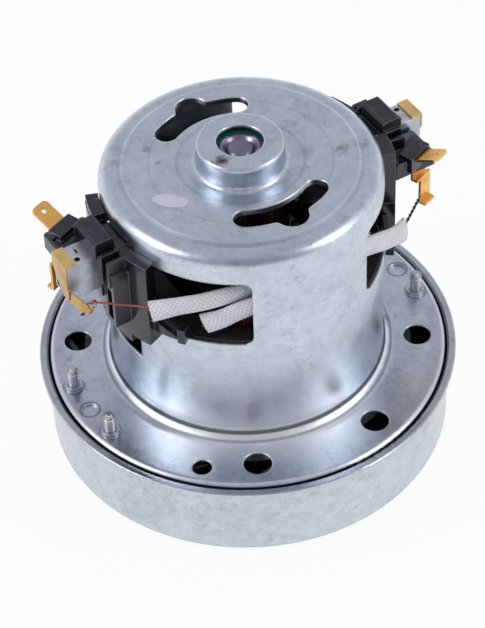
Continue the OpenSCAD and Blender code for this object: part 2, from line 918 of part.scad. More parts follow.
// Shaft, thicker between the bearings, with a threaded fan end
module shaft() {
  shoulder_low = bearing_low_z + bearing_w;
  shoulder_high = bearing_top_z;
  thread_z = back_low - clamp_t;
  color([0.62, 0.6, 0.66])
    rotate_extrude()
      polygon([[0, shaft_low], [thread_r - 0.6, shaft_low], [thread_r, shaft_low + 0.6], [thread_r, thread_z],
        [shaft_r, thread_z], [shaft_r, shoulder_low], [shaft_mid_r, shoulder_low],
        [shaft_mid_r, shoulder_high], [shaft_r, shoulder_high], [shaft_r, shaft_high - 0.5],
        [shaft_r - 0.5, shaft_high], [0, shaft_high]]);
}

module armature_core() {
  color(dark_steel)
    translate([0, 0, core_low])
      linear_extrude(core_high - core_low)
        difference() {
          circle(armature_r);
          circle(shaft_mid_r + fit_gap);
          for (i = [0:slots - 1])
            rotate(360 * i / slots) {
              translate([slot_pitch_r, 0])
                circle(slot_r);
              translate([slot_pitch_r, -slot_mouth / 2])
                square([armature_r, slot_mouth]);
            }
        }
}

// End windings above and below the core and the wire that fills its slots
module armature_winding() {
  round = 3;
  w = winding_out_r - winding_in_r;
  color(copper) {
    for (z = [winding_low, core_high + liner])
      rotate_extrude()
        translate([winding_in_r, z])
          round_rect(w, end_winding_h, round);
    for (i = [0:slots - 1])
      rotate([0, 0, 360 * i / slots])
        translate([slot_pitch_r, 0, winding_low + 1])
          cylinder(r = slot_r - liner, h = winding_high - winding_low - 2);
  }
}

module commutator_hub() {
  color(resin)
    ring(shaft_mid_r + fit_gap, commutator_r - bar_t - fit_gap, bar_low - riser_h, bar_high + 0.8);
}

// Copper bars with a riser at the winding end
module commutator_bars() {
  half = (360 / bars - bar_gap / commutator_r * 180 / PI) / 2;
  color(copper)
    for (i = [0:bars - 1])
      rotate([0, 0, 360 * i / bars]) {
        ring_sector(commutator_r - bar_t, commutator_r, -half, half, bar_low, bar_high);
        ring_sector(commutator_r - bar_t, commutator_r + riser_t, -half, half, bar_low - riser_h, bar_low);
      }
}

// Bearings

module bearing_outer(z) {
  color(steel)
    rotate_extrude()
      difference() {
        translate([ring_out_r, z])
          square([bearing_r - ring_out_r, bearing_w]);
        translate([pitch_r, z + bearing_w / 2])
          circle(ball_r + ball_gap);
      }
}

module bearing_inner(z) {
  color(steel)
    rotate_extrude()
      difference() {
        translate([shaft_r + fit_gap / 2, z])
          square([ring_in_r - shaft_r - fit_gap / 2, bearing_w]);
        translate([pitch_r, z + bearing_w / 2])
          circle(ball_r + ball_gap);
        polygon([[shaft_r, z + bearing_w - ring_chamfer], [shaft_r + ring_chamfer, z + bearing_w],
          [shaft_r, z + bearing_w + cut]]);
      }
}

// Two rubber seals held by the outer ring
module bearing_seals(z) {
  color(teal)
    for (h = [z + 0.2, z + bearing_w - 0.2 - seal_t])
      ring(ring_in_r + run_gap, ring_out_r - fit_gap, h, h + seal_t);
}

// Balls in their cage
module bearing_balls(z) {
  cage_h = 1.3;
  cage_t = 0.9;
  color(brass)
    translate([0, 0, z + bearing_w / 2]) {
      difference() {
        ring(pitch_r - cage_t / 2, pitch_r + cage_t / 2, -cage_h, cage_h);
        for (i = [0:balls - 1])
          rotate([0, 0, 360 * i / balls])
            translate([pitch_r, 0, 0])
              sphere(ball_r + ball_gap);
      }
      for (i = [0:balls - 1])
        rotate([0, 0, 360 * i / balls])
          translate([pitch_r, 0, 0])
            sphere(ball_r);
    }
}

module upper_bearing_outer() {
  bearing_outer(bearing_top_z);
}

module upper_bearing_inner() {
  bearing_inner(bearing_top_z);
}

module upper_bearing_seals() {
  bearing_seals(bearing_top_z);
}

module upper_bearing_balls() {
  bearing_balls(bearing_top_z);
}

module lower_bearing_outer() {
  bearing_outer(bearing_low_z);
}

module lower_bearing_inner() {
  bearing_inner(bearing_low_z);
}

module lower_bearing_seals() {
  bearing_seals(bearing_low_z);
}

module lower_bearing_balls() {
  bearing_balls(bearing_low_z);
}

// Rubber ring between the upper bearing and the boss
module bearing_boot() {
  color([0.08, 0.08, 0.08])
    ring(bearing_r + fit_gap, boss_in_r - fit_gap, bearing_top_z + 0.4, bearing_top_z + bearing_w);
}

// Wave spring washer above the upper bearing
module wave_washer() {
  n = 48;
  waves = 3;
  t = 0.3;
  r0 = ring_out_r + 0.2;
  r1 = bearing_r - 0.2;
  mid = top_z - can_t - washer_room / 2;
  rise = washer_room / 2 - t / 2 - fit_gap;
  corners = [[r0, -t / 2], [r1, -t / 2], [r1, t / 2], [r0, t / 2]];
  points = [for (i = [0:n - 1], c = corners)
    [c[0] * cos(360 * i / n), c[0] * sin(360 * i / n), mid + c[1] + rise * cos(360 * waves * i / n)]];
  faces = [for (i = [0:n - 1], k = [0:3], h = [0, 1])
    let (a = i * 4, b = ((i + 1) % n) * 4, j = (k + 1) % 4)
    h == 0 ? [a + k, b + k, a + j] : [a + j, b + k, b + j]];
  color(steel)
    polyhedron(points = points, faces = faces);
}

// Fan stack on the lower end of the shaft

module shaft_spacer() {
  color(steel)
    ring(shaft_r + fit_gap / 2, ring_in_r, back_high + clamp_t, bearing_low_z);
}

module upper_clamp_washer() {
  color(steel)
    ring(shaft_r + fit_gap, clamp_r, back_high, back_high + clamp_t);
}

module lower_clamp_washer() {
  color(steel)
    ring(shaft_r + fit_gap, clamp_r, back_low - clamp_t, back_low);
}

module impeller_nut() {
  z = back_low - clamp_t - nut_h;
  color(dark_steel)
    difference() {
      translate([0, 0, z])
        cylinder(d = nut_af / cos(30), h = nut_h, $fn = 6);
      translate([0, 0, z - cut])
        cylinder(r = thread_r + fit_gap, h = nut_h + 2 * cut);
    }
}

module impeller_back_plate() {
  color(steel)
    ring(shaft_r + fit_gap, impeller_r, back_low, back_high);
}

// Front shroud: a shallow cone that leaves the eye open
module impeller_shroud() {
  color(steel)
    rotate_extrude()
      polygon([[eye_r, shroud_in - shroud_t], [impeller_r, shroud_out - shroud_t],
        [impeller_r, shroud_out], [eye_r, shroud_in]]);
}

// Blades curved backwards, cut to the cone of the shroud
module impeller_blades() {
  edge = 0.4;
  color([0.8, 0.81, 0.83])
    intersection() {
      for (i = [0:blades - 1])
        rotate([0, 0, 360 * i / blades])
          translate([0, 0, shroud_in - cut])
            linear_extrude(back_low - shroud_in + 2 * cut)
              curved_vane(eye_r + edge, impeller_r - edge, blade_centre_r, blade_bend_r, blade_t);
      rotate_extrude()
        polygon([[eye_r, shroud_in + fit_gap], [impeller_r, shroud_out + fit_gap],
          [impeller_r, back_low - fit_gap], [eye_r, back_low - fit_gap]]);
    }
}

// Brush gear

// Moulded holder: saddle on the can, tower over the brush tube, block and socket for the terminal
module holder() {
  wall = guide_wall;
  inner_w = tube_w + 2 * wall;
  back_x = saddle_r0 + 2;
  step = 0.2;
  difference() {
    union() {
      ring_sector(saddle_r0, saddle_r1, -saddle_angle, saddle_angle, saddle_low, saddle_high);
      ring_sector(saddle_r0 + step, saddle_r1 - step, -saddle_angle + step, -ear_from,
        saddle_high - cut, saddle_high + ear_up);
      ring_sector(saddle_r0 + step, saddle_r1 - 1.2, -saddle_angle / 2, saddle_angle / 2,
        chin_low, saddle_low + cut);
      for (side = [0, 1])
        mirror([0, side, 0])
          saddle_tail();
      box([back_x, -tower_w / 2, tube_low - wall - 0.6], [tower_x1 - 0.8, tower_w / 2, saddle_high - step]);
      translate([0, tower_shift, 0])
        topped_bar(tower_x0, tower_x1, -tower_w / 2, tower_w / 2, saddle_high - cut, tower_high, 0.8);
      for (side = [-1, 1], fin = [[1.3, 3.2, 1.6], [3.9, 2, 0.4]])
        topped_fin(side * (tower_w / 2 + fin[0]), can_r + 8 + fin[1] / 2, saddle_high + fin[2]);
      topped_bar(back_x, block_x1, -block_y1, -block_y0 + cut, block_low, block_high, 0.6);
      terminal_place()
        box([-tab_w / 2 - socket_t, -socket_l, -3], [tab_w / 2 + socket_t, 2.2, socket_h]);
      box([back_x, tower_w / 2 - cut, brush_z - 17.3], [can_r + 8.2, tower_w / 2 + 5.2, brush_z + 2.7]);
      box([guide_x0, -inner_w / 2, tube_low - wall], [back_x + cut, inner_w / 2, tube_top + wall]);
      box([tongue_x0, -throat_w / 2 + seat_gap, chin_low + 0.5],
        [back_x - 1, throat_w / 2 - seat_gap, tube_low]);
      ring_sector(saddle_r0 + 2 * step, saddle_r0 + clip_t, clip_angle, clip_angle + 3,
        clip_z + step, clip_z + 5.4);
      ring_sector(saddle_r0 + 2 * step, saddle_r0 + clip_t, -clip_angle - 3, -clip_angle,
        clip_z - 2, clip_z + 0.5);
    }
    box([tube_x0 - cut, -tube_w / 2 - fit_gap, tube_low - fit_gap],
      [tube_x1 + cut, tube_w / 2 + fit_gap, tube_top + fit_gap]);
    terminal_place() {
      box([-tab_w / 2 - seat_gap, -tab_t / 2 - seat_gap, block_low - tab_z - cut],
        [tab_w / 2 + tail_shift + seat_gap, tab_t / 2 + seat_gap, tab_t]);
      rotate([-tab_slope, 0, 0])
        box([-tab_w / 2 - seat_gap, -tab_l, -tab_t / 2 - seat_gap],
          [tab_w / 2 + seat_gap, tab_t, tab_t / 2 + seat_gap]);
    }
    box([can_r + 6.2, tower_w / 2 + 1.2, brush_z - 15.3], [can_r + 9, tower_w / 2 + 4, brush_z - 4]);
    for (side = [-1, 1])
      box([saddle_r1 - 0.7, side * (tower_w / 2 + 2.2) - 0.5, saddle_low - cut],
        [saddle_r1 + 0.4, side * (tower_w / 2 + 2.2) + 0.5, brush_z - 17.3]);
    for (a = [-saddle_angle - 1, saddle_angle - 0.5])
      ring_sector(saddle_r0 - cut, saddle_r1 + cut, a, a + 1.5, brush_z - 9.8, brush_z - 9.4);
  }
}

// Pointed arm that follows the window's lower edge
module saddle_tail() {
  y0 = saddle_r0 * sin(saddle_angle) - 0.5;
  y1 = saddle_r0 * sin(saddle_angle + 12);
  intersection() {
    ring(saddle_r0 + 0.2, saddle_r0 + 1.8, clip_z - cut, clip_z + 6);
    rotate([90, 0, 90])
      linear_extrude(saddle_r1 + cut)
        polygon([[y0, clip_z], [y1, clip_z], [y1, clip_z + 0.8], [y0, clip_z + 5]]);
  }
}

// Thin upright rib beside the tower
module topped_fin(y, x1, z1) {
  topped_bar(saddle_r1 - 1, x1, y - 0.5, y + 0.5, brush_z - 2, z1, 0.5);
}

// Puts children at the terminal's bend, turned with it
module terminal_place() {
  translate([tab_x, tab_y, tab_z])
    rotate([0, 0, tab_turn])
      children();
}

module brush_holder_right() {
  color(black)
    holder();
}

module brush_holder_left() {
  color(black)
    far_side()
      holder();
}

// Sheet tube that guides the brush, with a hole and a slit in its top
module brush_tube() {
  hole_x = can_r + 14.4;
  slit_x = can_r + 12.8;
  difference() {
    box([tube_x0, -tube_w / 2, tube_low], [tube_x1, tube_w / 2, tube_top]);
    box([tube_x0 - cut, -tube_w / 2 + tube_t, tube_low + tube_t],
      [tube_x1 + cut, tube_w / 2 - tube_t, tube_top - tube_t]);
    translate([hole_x, tube_w / 2 - 1.9, brush_z])
      cylinder(d = 1.8, h = tube_h);
    box([slit_x, -2, brush_z], [slit_x + 0.6, -0.2, brush_z + tube_h]);
  }
}

module brush_tube_right() {
  color(steel)
    brush_tube();
}

module brush_tube_left() {
  color(steel)
    far_side()
      brush_tube();
}

// Brass strap over the tube's outer end, with the lug that takes the coil wire
module brush_cap() {
  half = tube_w / 2;
  high = tube_top + fit_gap + cap_t;
  translate([cap_x, 0, 0])
    rotate([90, 0, 90])
      linear_extrude(cap_t)
        polygon([[-half, high], [half, high], [half, lug_low], [half - 3, lug_low], [-half, high - 5]]);
  box([cap_x - cap_over, -half, high - cap_t], [cap_x + cap_t, half, high]);
  box([cap_x, half - cut, lug_low], [cap_x + cap_t, lug_bend_y, lug_low + lug_h]);
  translate([cap_x, lug_bend_y, lug_low])
    rotate([-lug_fall, 0, lug_turn]) {
      translate([0, -0.2, 0])
        cube([cap_t, lug_l + 0.2, lug_h]);
      translate([-hook_r, lug_l, 0.6])
        lug_hook();
    }
}

// Curl that holds the wire
module lug_hook() {
  rotate_extrude(angle = 200)
    translate([hook_r, 0])
      square([cap_t, lug_h - 1.2]);
}

module brush_cap_right() {
  color(brass)
    brush_cap();
}

module brush_cap_left() {
  color(brass)
    far_side()
      brush_cap();
}

// Carbon brush with its face hollowed to the commutator
module carbon_brush() {
  difference() {
    box([0, -brush_w / 2, brush_z - brush_h / 2], [brush_x1, brush_w / 2, brush_z + brush_h / 2]);
    translate([0, 0, brush_z - brush_h])
      cylinder(r = brush_x0, h = 2 * brush_h);
    translate([brush_x1 - 2, 0, brush_z])
      rotate([0, 90, 0])
        cylinder(d = 1.6, h = 2 + cut);
  }
}

module carbon_brush_right() {
  color(carbon)
    carbon_brush();
}

module carbon_brush_left() {
  color(carbon)
    far_side()
      carbon_brush();
}

// Brush spring: a helix between the brush and the cap
spring_x0 = brush_x1 + spring_wire / 2 + spring_end;
spring_x1 = tube_x1 - spring_wire / 2 - spring_end;
spring_rings = 8 * spring_turns;
function spring_point(i) =
  let (a = 360 * spring_turns * i / spring_rings)
  [spring_x0 + (spring_x1 - spring_x0) * i / spring_rings, spring_r * cos(a), brush_z + spring_r * sin(a)];
function spring_ring(i, n) =
  let (p = spring_point(i), t = unit(spring_point(i + 1) - spring_point(i - 1)),
    u = unit([0, p[1], p[2] - brush_z]), v = cross(t, u))
  [for (k = [0:n - 1]) p + spring_wire / 2 * (cos(360 * k / n) * u + sin(360 * k / n) * v)];
spring_least_gap = min([for (i = [0:spring_rings - 5], j = [i + 5:min(i + 11, spring_rings)])
  norm(spring_point(i) - spring_point(j))]) - spring_wire;
echo(spring_least_gap = spring_least_gap);

module brush_spring() {
  n = 6;
  points = [for (i = [0:spring_rings]) each spring_ring(i, n)];
  polyhedron(points = points, faces = tube_faces(spring_rings + 1, n));
}

module brush_spring_right() {
  color(dark_steel)
    brush_spring();
}

module brush_spring_left() {
  color(dark_steel)
    far_side()
      brush_spring();
}

// Flexible lead inside the spring, from the brush to the cap
module brush_lead() {
  x0 = brush_x1 - 1.8;
  color(copper)
    translate([x0, 0, brush_z])
      rotate([0, 90, 0])
        cylinder(d = 1.2, h = tube_x1 - x0 - fit_gap);
}

module brush_lead_right() {
  brush_lead();
}

module brush_lead_left() {
  far_side()
    brush_lead();
}

// Spade terminal: a sloping tab, a flat in the block and a tail with a hook
module terminal() {
  half = tab_t / 2;
  terminal_place() {
    difference() {
      rotate([-tab_slope, 0, 0])
        translate([0, 0, -half])
          linear_extrude(tab_t)
            difference() {
              tab_outline();
              translate([0, 2.6 - tab_l])
                circle(tab_hole_r);
            }
      box([-tab_w, half, -tab_w], [tab_w, tab_w, tab_w]);
    }
    translate([0, 0, -tab_z]) {
      box([-tab_w / 2, -half, block_low], [tab_w / 2, half, tab_z]);
      box([-tab_w / 2 + tail_shift, -half, tail_neck], [tab_w / 2 + tail_shift, half, tab_z - 2]);
      box([-tab_w / 2 + tail_shift, foot_y - half, tail_neck - tab_t],
        [tab_w / 2 + tail_shift, half, tail_neck]);
      box([foot_x - foot_w / 2, foot_y - half, foot_low],
        [foot_x + foot_w / 2, foot_y + half, tail_neck]);
      box([foot_x - foot_w / 2, foot_y - 2.2, foot_low],
        [foot_x + foot_w / 2, foot_y + half, foot_low + tab_t]);
    }
  }
}

// Tab with rounded outer corners, pointing to -y
module tab_outline() {
  corner = tab_w / 4;
  translate([-tab_w / 2, corner - tab_l])
    square([tab_w, tab_l - corner + tab_t]);
  translate([-tab_w / 2 + corner, -tab_l])
    square([tab_w - 2 * corner, tab_l]);
  for (side = [-1, 1])
    translate([side * (tab_w / 2 - corner), corner - tab_l])
      circle(corner);
}

module terminal_right() {
  color(brass)
    terminal();
}

module terminal_left() {
  color(brass)
    far_side()
      terminal();
}

// Leads between the coils and the holders

// Woven sleeves of one coil
module sleeves() {
  for (p = [sleeve_a, sleeve_b, sleeve_c])
    sweep(route(p, 2), sleeve_thick / 2, sleeve_wide / 2, 12, mouth_flare);
}

// Bare coil wires between the sleeves and the brass
module wires() {
  for (p = [wire_a, wire_c])
    sweep(route(p, 3), wire_d / 2, wire_d / 2, 8, 0);
}

module lead_sleeves_front() {
  color(sleeve_white)
    sleeves();
}

module lead_sleeves_rear() {
  color(sleeve_white)
    far_side()
      sleeves();
}

module lead_wires_front() {
  color([0.7, 0.2, 0.15])
    wires();
}

module lead_wires_rear() {
  color([0.7, 0.2, 0.15])
    far_side()
      wires();
}

motor_housing();
fan_cover();
bearing_bracket();
diffuser();
diffuser_screws();
stator_core();
field_coil_front();
field_coil_rear();
shaft();
armature_core();
armature_winding();
commutator_hub();
commutator_bars();
upper_bearing_outer();
upper_bearing_inner();
upper_bearing_seals();
upper_bearing_balls();
bearing_boot();
wave_washer();
lower_bearing_outer();
lower_bearing_inner();
lower_bearing_seals();
lower_bearing_balls();
shaft_spacer();
upper_clamp_washer();
lower_clamp_washer();
impeller_nut();
impeller_back_plate();
impeller_blades();
impeller_shroud();
brush_holder_left();
brush_holder_right();
brush_tube_left();
brush_tube_right();
brush_cap_left();
brush_cap_right();
carbon_brush_left();
carbon_brush_right();
brush_spring_left();
brush_spring_right();
brush_lead_left();
brush_lead_right();
terminal_left();
terminal_right();
lead_sleeves_front();
lead_sleeves_rear();
lead_wires_front();
lead_wires_rear();
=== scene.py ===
import math
import random

import bpy
from mathutils import Matrix, Vector


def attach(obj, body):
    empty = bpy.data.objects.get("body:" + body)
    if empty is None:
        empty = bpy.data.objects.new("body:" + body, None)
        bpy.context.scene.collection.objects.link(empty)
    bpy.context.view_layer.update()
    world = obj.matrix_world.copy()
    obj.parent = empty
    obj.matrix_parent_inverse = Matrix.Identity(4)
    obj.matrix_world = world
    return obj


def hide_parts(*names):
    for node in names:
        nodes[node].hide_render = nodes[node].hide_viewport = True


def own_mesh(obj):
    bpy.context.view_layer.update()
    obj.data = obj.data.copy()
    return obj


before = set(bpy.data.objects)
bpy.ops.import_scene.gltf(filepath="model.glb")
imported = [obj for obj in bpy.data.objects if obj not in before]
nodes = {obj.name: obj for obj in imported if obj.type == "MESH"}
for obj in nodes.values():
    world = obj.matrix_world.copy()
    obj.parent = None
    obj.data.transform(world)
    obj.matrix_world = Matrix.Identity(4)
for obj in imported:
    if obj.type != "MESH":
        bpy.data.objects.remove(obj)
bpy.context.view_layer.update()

SEED = 7
chance = random.Random(SEED)
MM = 0.001
PER_METRE = 1000
TURN = 2 * math.pi
UP = Vector((0, 0, 1))


# Sizes repeated from the solids, in millimetres and degrees

CAN_R = 42.25
BRUSH_Z = 87.3
BOSS_Z = 110
CROWN_Z = 102.3
FLANGE_Z = 28.6
SCREW_R = 56.8
SCREW_ANGLES = (11.5, -11.5, 168.5, 191.5)
PIP_X = 56.4
COIL_LOW = 36.45
COIL_TOP = 76.0
COIL_HALF = 11.8
COIL_W = 6.7
COIL_NEAR = 21.4
COIL_FAR = 30.3
COIL_Y = -25.85


def around(radius, angle, z):
    """Point at a radius from the shaft, an angle in degrees and a height."""
    a = math.radians(angle)
    return radius * math.cos(a), radius * math.sin(a), z


def angles(count):
    """Even steps once round, in radians."""
    return [TURN * k / count for k in range(count)]


# Shader helpers

WAVES_PER_UNIT = 10 / math.pi
BEVEL_SAMPLES = 4

# Sockets of a Mix node that mixes colours
MIX_SHARE = 0
MIX_FIRST = 6
MIX_SECOND = 7
MIX_RESULT = 2


class Finish:
    """One material's node tree, with short calls for the nodes used here."""

    def __init__(self, name):
        self.material = bpy.data.materials.new(name)
        self.material.use_nodes = True
        self.tree = self.material.node_tree
        self.tree.nodes.clear()
        self.shader = self.node("BsdfPrincipled")
        self.surface = self.node("OutputMaterial").inputs["Surface"]
        self.link(self.shader.outputs[0], self.surface)
        self.where = self.node("TexCoord").outputs["Object"]

    def node(self, kind):
        return self.tree.nodes.new("ShaderNode" + kind)

    def link(self, output, socket):
        self.tree.links.new(output, socket)

    def put(self, socket, value):
        """Links an output to a socket, or sets the socket to a number or colour."""
        if isinstance(value, bpy.types.NodeSocket):
            self.link(value, socket)
        elif isinstance(value, tuple) and len(value) == 3 and len(socket.default_value) == 4:
            socket.default_value = (*value, 1)
        else:
            socket.default_value = value

    def set(self, name, value):
        self.put(self.shader.inputs[name], value)

    def noise(self, size, detail=3.0, rough=0.55, stretch=(1, 1, 1), at=None):
        """Noise with features of about size millimetres, times stretch along each axis."""
        mapping = self.node("Mapping")
        mapping.inputs["Scale"].default_value = [PER_METRE / (size * s) for s in stretch]
        self.link(at or self.where, mapping.inputs["Vector"])
        node = self.node("TexNoise")
        node.inputs["Scale"].default_value = 1
        node.inputs["Detail"].default_value = detail
        node.inputs["Roughness"].default_value = rough
        self.link(mapping.outputs[0], node.inputs["Vector"])
        return node.outputs[0]

    def cells(self, size, feature="F1", output="Distance", at=None):
        """Voronoi cells of about size millimetres."""
        node = self.node("TexVoronoi")
        node.feature = feature
        node.inputs["Scale"].default_value = PER_METRE / size
        self.link(at or self.where, node.inputs["Vector"])
        return node.outputs[output]

    def waves(self, size, axis, distortion):
        """Bands across an axis, one in every size millimetres."""
        node = self.node("TexWave")
        node.bands_direction = axis
        node.inputs["Scale"].default_value = PER_METRE / size / WAVES_PER_UNIT
        node.inputs["Distortion"].default_value = distortion
        node.inputs["Detail"].default_value = 2
        self.link(self.where, node.inputs["Vector"])
        return node.outputs["Fac"]

    def math(self, kind, a, b=0.0):
        node = self.node("Math")
        node.operation = kind
        self.put(node.inputs[0], a)
        self.put(node.inputs[1], b)
        return node.outputs[0]

    def plus(self, a, b):
        return self.math("ADD", a, b)

    def minus(self, a, b):
        return self.math("SUBTRACT", a, b)

    def times(self, a, b):
        return self.math("MULTIPLY", a, b)

    def weighed(self, *terms):
        """Sum of values, each times its own weight."""
        total = self.times(*terms[0])
        for value, weight in terms[1:]:
            total = self.plus(total, self.times(value, weight))
        return total

    def span(self, value, low, high, to_low=0.0, to_high=1.0):
        """Maps low..high to to_low..to_high and clamps."""
        node = self.node("MapRange")
        self.put(node.inputs["Value"], value)
        node.inputs["From Min"].default_value = low
        node.inputs["From Max"].default_value = high
        node.inputs["To Min"].default_value = to_low
        node.inputs["To Max"].default_value = to_high
        return node.outputs["Result"]

    def mix(self, share, first, second):
        """Colour that goes from the first to the second."""
        node = self.node("Mix")
        node.data_type = "RGBA"
        self.put(node.inputs[MIX_SHARE], share)
        self.put(node.inputs[MIX_FIRST], first)
        self.put(node.inputs[MIX_SECOND], second)
        return node.outputs[MIX_RESULT]

    def split(self, vector):
        node = self.node("SeparateXYZ")
        self.link(vector, node.inputs[0])
        return node.outputs

    def join(self, x, y, z):
        node = self.node("CombineXYZ")
        self.put(node.inputs[0], x)
        self.put(node.inputs[1], y)
        self.put(node.inputs[2], z)
        return node.outputs[0]

    def from_shaft(self):
        """Distance from the shaft, in metres."""
        x, y, _ = self.split(self.where)
        return self.math("SQRT", self.plus(self.times(x, x), self.times(y, y)))

    def unrolled(self, radius):
        """Distance from the shaft, length of arc at a radius in millimetres, and height."""
        x, y, z = self.split(self.where)
        arc = self.times(self.math("ARCTAN2", y, x), radius * MM)
        return self.join(self.from_shaft(), arc, z)

    def levelness(self):
        """1 on level faces and 0 on upright ones."""
        normal = self.node("NewGeometry").outputs["True Normal"]
        return self.math("ABSOLUTE", self.split(normal)[2])

    def distance(self, point):
        """Distance in metres from a point in millimetres."""
        node = self.node("VectorMath")
        node.operation = "DISTANCE"
        self.link(self.where, node.inputs[0])
        node.inputs[1].default_value = [v * MM for v in point]
        return node.outputs["Value"]

    def spot(self, point, size):
        """1 at a point, falling to 0 at size from it, in millimetres."""
        return self.span(self.distance(point), 0, size * MM, 1, 0)

    def circle(self, point, radius, width):
        """1 on a circle round a point, falling to 0 over a width, in millimetres."""
        off = self.math("ABSOLUTE", self.minus(self.distance(point), radius * MM))
        return self.span(off, 0, width * MM, 1, 0)

    def bump(self, height, depth, strength=1.0, normal=None):
        """Bump of a depth in millimetres."""
        node = self.node("Bump")
        node.inputs["Strength"].default_value = strength
        node.inputs["Distance"].default_value = depth * MM
        self.link(height, node.inputs["Height"])
        if normal:
            self.link(normal, node.inputs["Normal"])
        return node.outputs[0]

    def soft_edges(self, radius):
        """Normal with edges rounded over a radius in millimetres."""
        node = self.node("Bevel")
        node.samples = BEVEL_SAMPLES
        node.inputs["Radius"].default_value = radius * MM
        return node.outputs[0]

    def edge_mask(self, rounded):
        """1 along edges, where the rounded normal leaves the true one."""
        dot = self.node("VectorMath")
        dot.operation = "DOT_PRODUCT"
        self.link(rounded, dot.inputs[0])
        self.link(self.node("NewGeometry").outputs["Normal"], dot.inputs[1])
        return self.span(dot.outputs["Value"], 0.75, 0.99, 1, 0)


def scaled(colour, factor, lift=0.0):
    """A colour made darker or lighter, and at most white."""
    return tuple(min(1.0, factor * c + lift) for c in colour)


# Materials; sizes are in millimetres

# The pale colour paints highlights; the first dark colour paints shade rings and two faint crown
# lines; the second paints shade round pips and collars
PALE = (0.93, 0.95, 0.98)
DARK_RING = (0.035, 0.036, 0.05)
OUTLINE_SHADE = (0.06, 0.06, 0.08)
BROWN = (0.11, 0.07, 0.065)
GREY = (0.2, 0.2, 0.23)
UNROLL_R = 42
GLINT_HEIGHTS = (0.06, 0.1)
FRONT_SECTOR = (0.57, 0.88)
OUTLINE_WIDTH = 0.5


def zinc_sheet(name, base, rough, cloud_size, stains, rings, outlines=(), rim=0.45,
               dish=None, foot=None, glint=(0.4, 0.4)):
    """Drawn galvanised sheet: clouded zinc, draw lines, scuffs, painted highlights and painted
    shade.
    """
    f = Finish(name)
    x, y, z = f.split(f.where)
    far = f.from_shaft()
    unrolled = f.unrolled(UNROLL_R)
    level = f.math("POWER", f.levelness(), 2.0)

    # Clouds, crystals and draw lines
    cloud = f.noise(cloud_size, 4, 0.6)
    fleck = f.noise(0.9, 2, 0.6)
    mottle = f.noise(4.2, 3, 0.6)
    flower = f.split(f.cells(3.2, "F1", "Color"))[0]
    up_lines = f.noise(1, 2, 0.5, (30, 0.55, 26), unrolled)
    round_lines = f.noise(1, 2, 0.5, (0.5, 46, 30), unrolled)
    lines = f.weighed((round_lines, level), (up_lines, f.minus(1.0, level)))
    tone = f.weighed((cloud, 0.36), (flower, 0.05), (mottle, 0.3), (fleck, 0.25), (lines, 0.04))
    colour = f.mix(f.span(tone, 0.34, 0.66), scaled(base, 0.8), scaled(base, 1.13))

    # Scratches, stains, specks and smudges
    wavy = f.join(f.plus(x, f.times(f.noise(14, 2), 0.02)),
                  f.plus(y, f.times(f.noise(11, 2), 0.02)), z)
    cracks = f.cells(9, "DISTANCE_TO_EDGE", "Distance", wavy)
    scratch = f.times(f.span(cracks, 0.004, 0.02, 1, 0), f.span(f.noise(17, 2), 0.52, 0.66))
    colour = f.mix(f.times(scratch, 0.35), colour, scaled(base, 1.3))
    ragged = f.times(f.noise(1.5, 5, 0.7), 1.7)
    for point, size, shade, share in stains:
        reach = f.plus(f.spot(point, size), ragged)
        colour = f.mix(f.times(f.span(reach, 1.15, 1.75), share), colour, shade)
    speck = f.times(f.span(f.cells(5.5), 0.03, 0.06, 1, 0), f.span(f.noise(12, 2), 0.5, 0.6))
    colour = f.mix(f.times(speck, 0.6), colour, (0.1, 0.1, 0.12))
    smudge = f.times(f.span(f.noise(2.4, 6, 0.75), 0.51, 0.66, 0, 0.44),
                     f.span(f.noise(13, 2), 0.42, 0.56))
    colour = f.mix(smudge, colour, scaled(base, 0.45))

    # Painted highlight along the edges, stronger or weaker by height
    rounded = f.soft_edges(rim)
    edge_highlight_share = f.span(z, *GLINT_HEIGHTS, *glint)
    colour = f.mix(f.times(f.edge_mask(rounded), edge_highlight_share), colour, PALE)
    wear = f.weighed((lines, 0.15), (cloud, 0.85))
    roughness = f.span(wear, 0.3, 0.7, rough - 0.06, rough + 0.07)

    # Painted highlight on one side of the can's foot, where the zinc is also made rougher
    if foot:
        low_z, high_z, near_r, far_r, share, angle = foot
        toward_x, toward_y, _ = around(1, angle, 0)
        along = f.weighed((x, toward_x), (y, toward_y))
        front_highlight = f.times(f.span(z, low_z * MM, high_z * MM, share, 0),
                          f.span(far, near_r * MM, far_r * MM, 1, 0))
        front_highlight = f.times(front_highlight, f.span(f.math("DIVIDE", along, far), *FRONT_SECTOR))
        colour = f.mix(front_highlight, colour, PALE)
        roughness = f.plus(roughness, f.times(front_highlight, 0.12))

    # Rings about the shaft, mostly painted shade and painted highlights, and painted shade round
    # the feet of the pips and collars
    for inner, outer, fade, share, shade, flat in rings:
        band = f.times(f.span(far, (inner - fade) * MM, inner * MM, 0, share),
                       f.span(far, outer * MM, (outer + fade) * MM, 1, 0))
        if flat:
            band = f.times(band, level)
        colour = f.mix(band, colour, shade)
    for point, radius, share in outlines:
        pip_foot_shade = f.times(f.circle(point, radius, OUTLINE_WIDTH), share)
        colour = f.mix(pip_foot_shade, colour, OUTLINE_SHADE)

    # Fine relief, slow dents and the shallow dish round the boss
    relief = f.minus(f.weighed((lines, 0.06), (fleck, 0.6)), f.times(scratch, 0.2))
    normal = f.bump(relief, 0.012, 0.5, rounded)
    normal = f.bump(f.noise(26, 2, 0.5), 0.22, 0.3, normal)
    if dish:
        inner, outer, depth = dish
        normal = f.bump(f.span(far, inner * MM, outer * MM), depth, 1.0, normal)
    f.set("Base Color", colour)
    f.set("Metallic", 1.0)
    f.set("Roughness", roughness)
    f.set("Normal", normal)
    return f.material


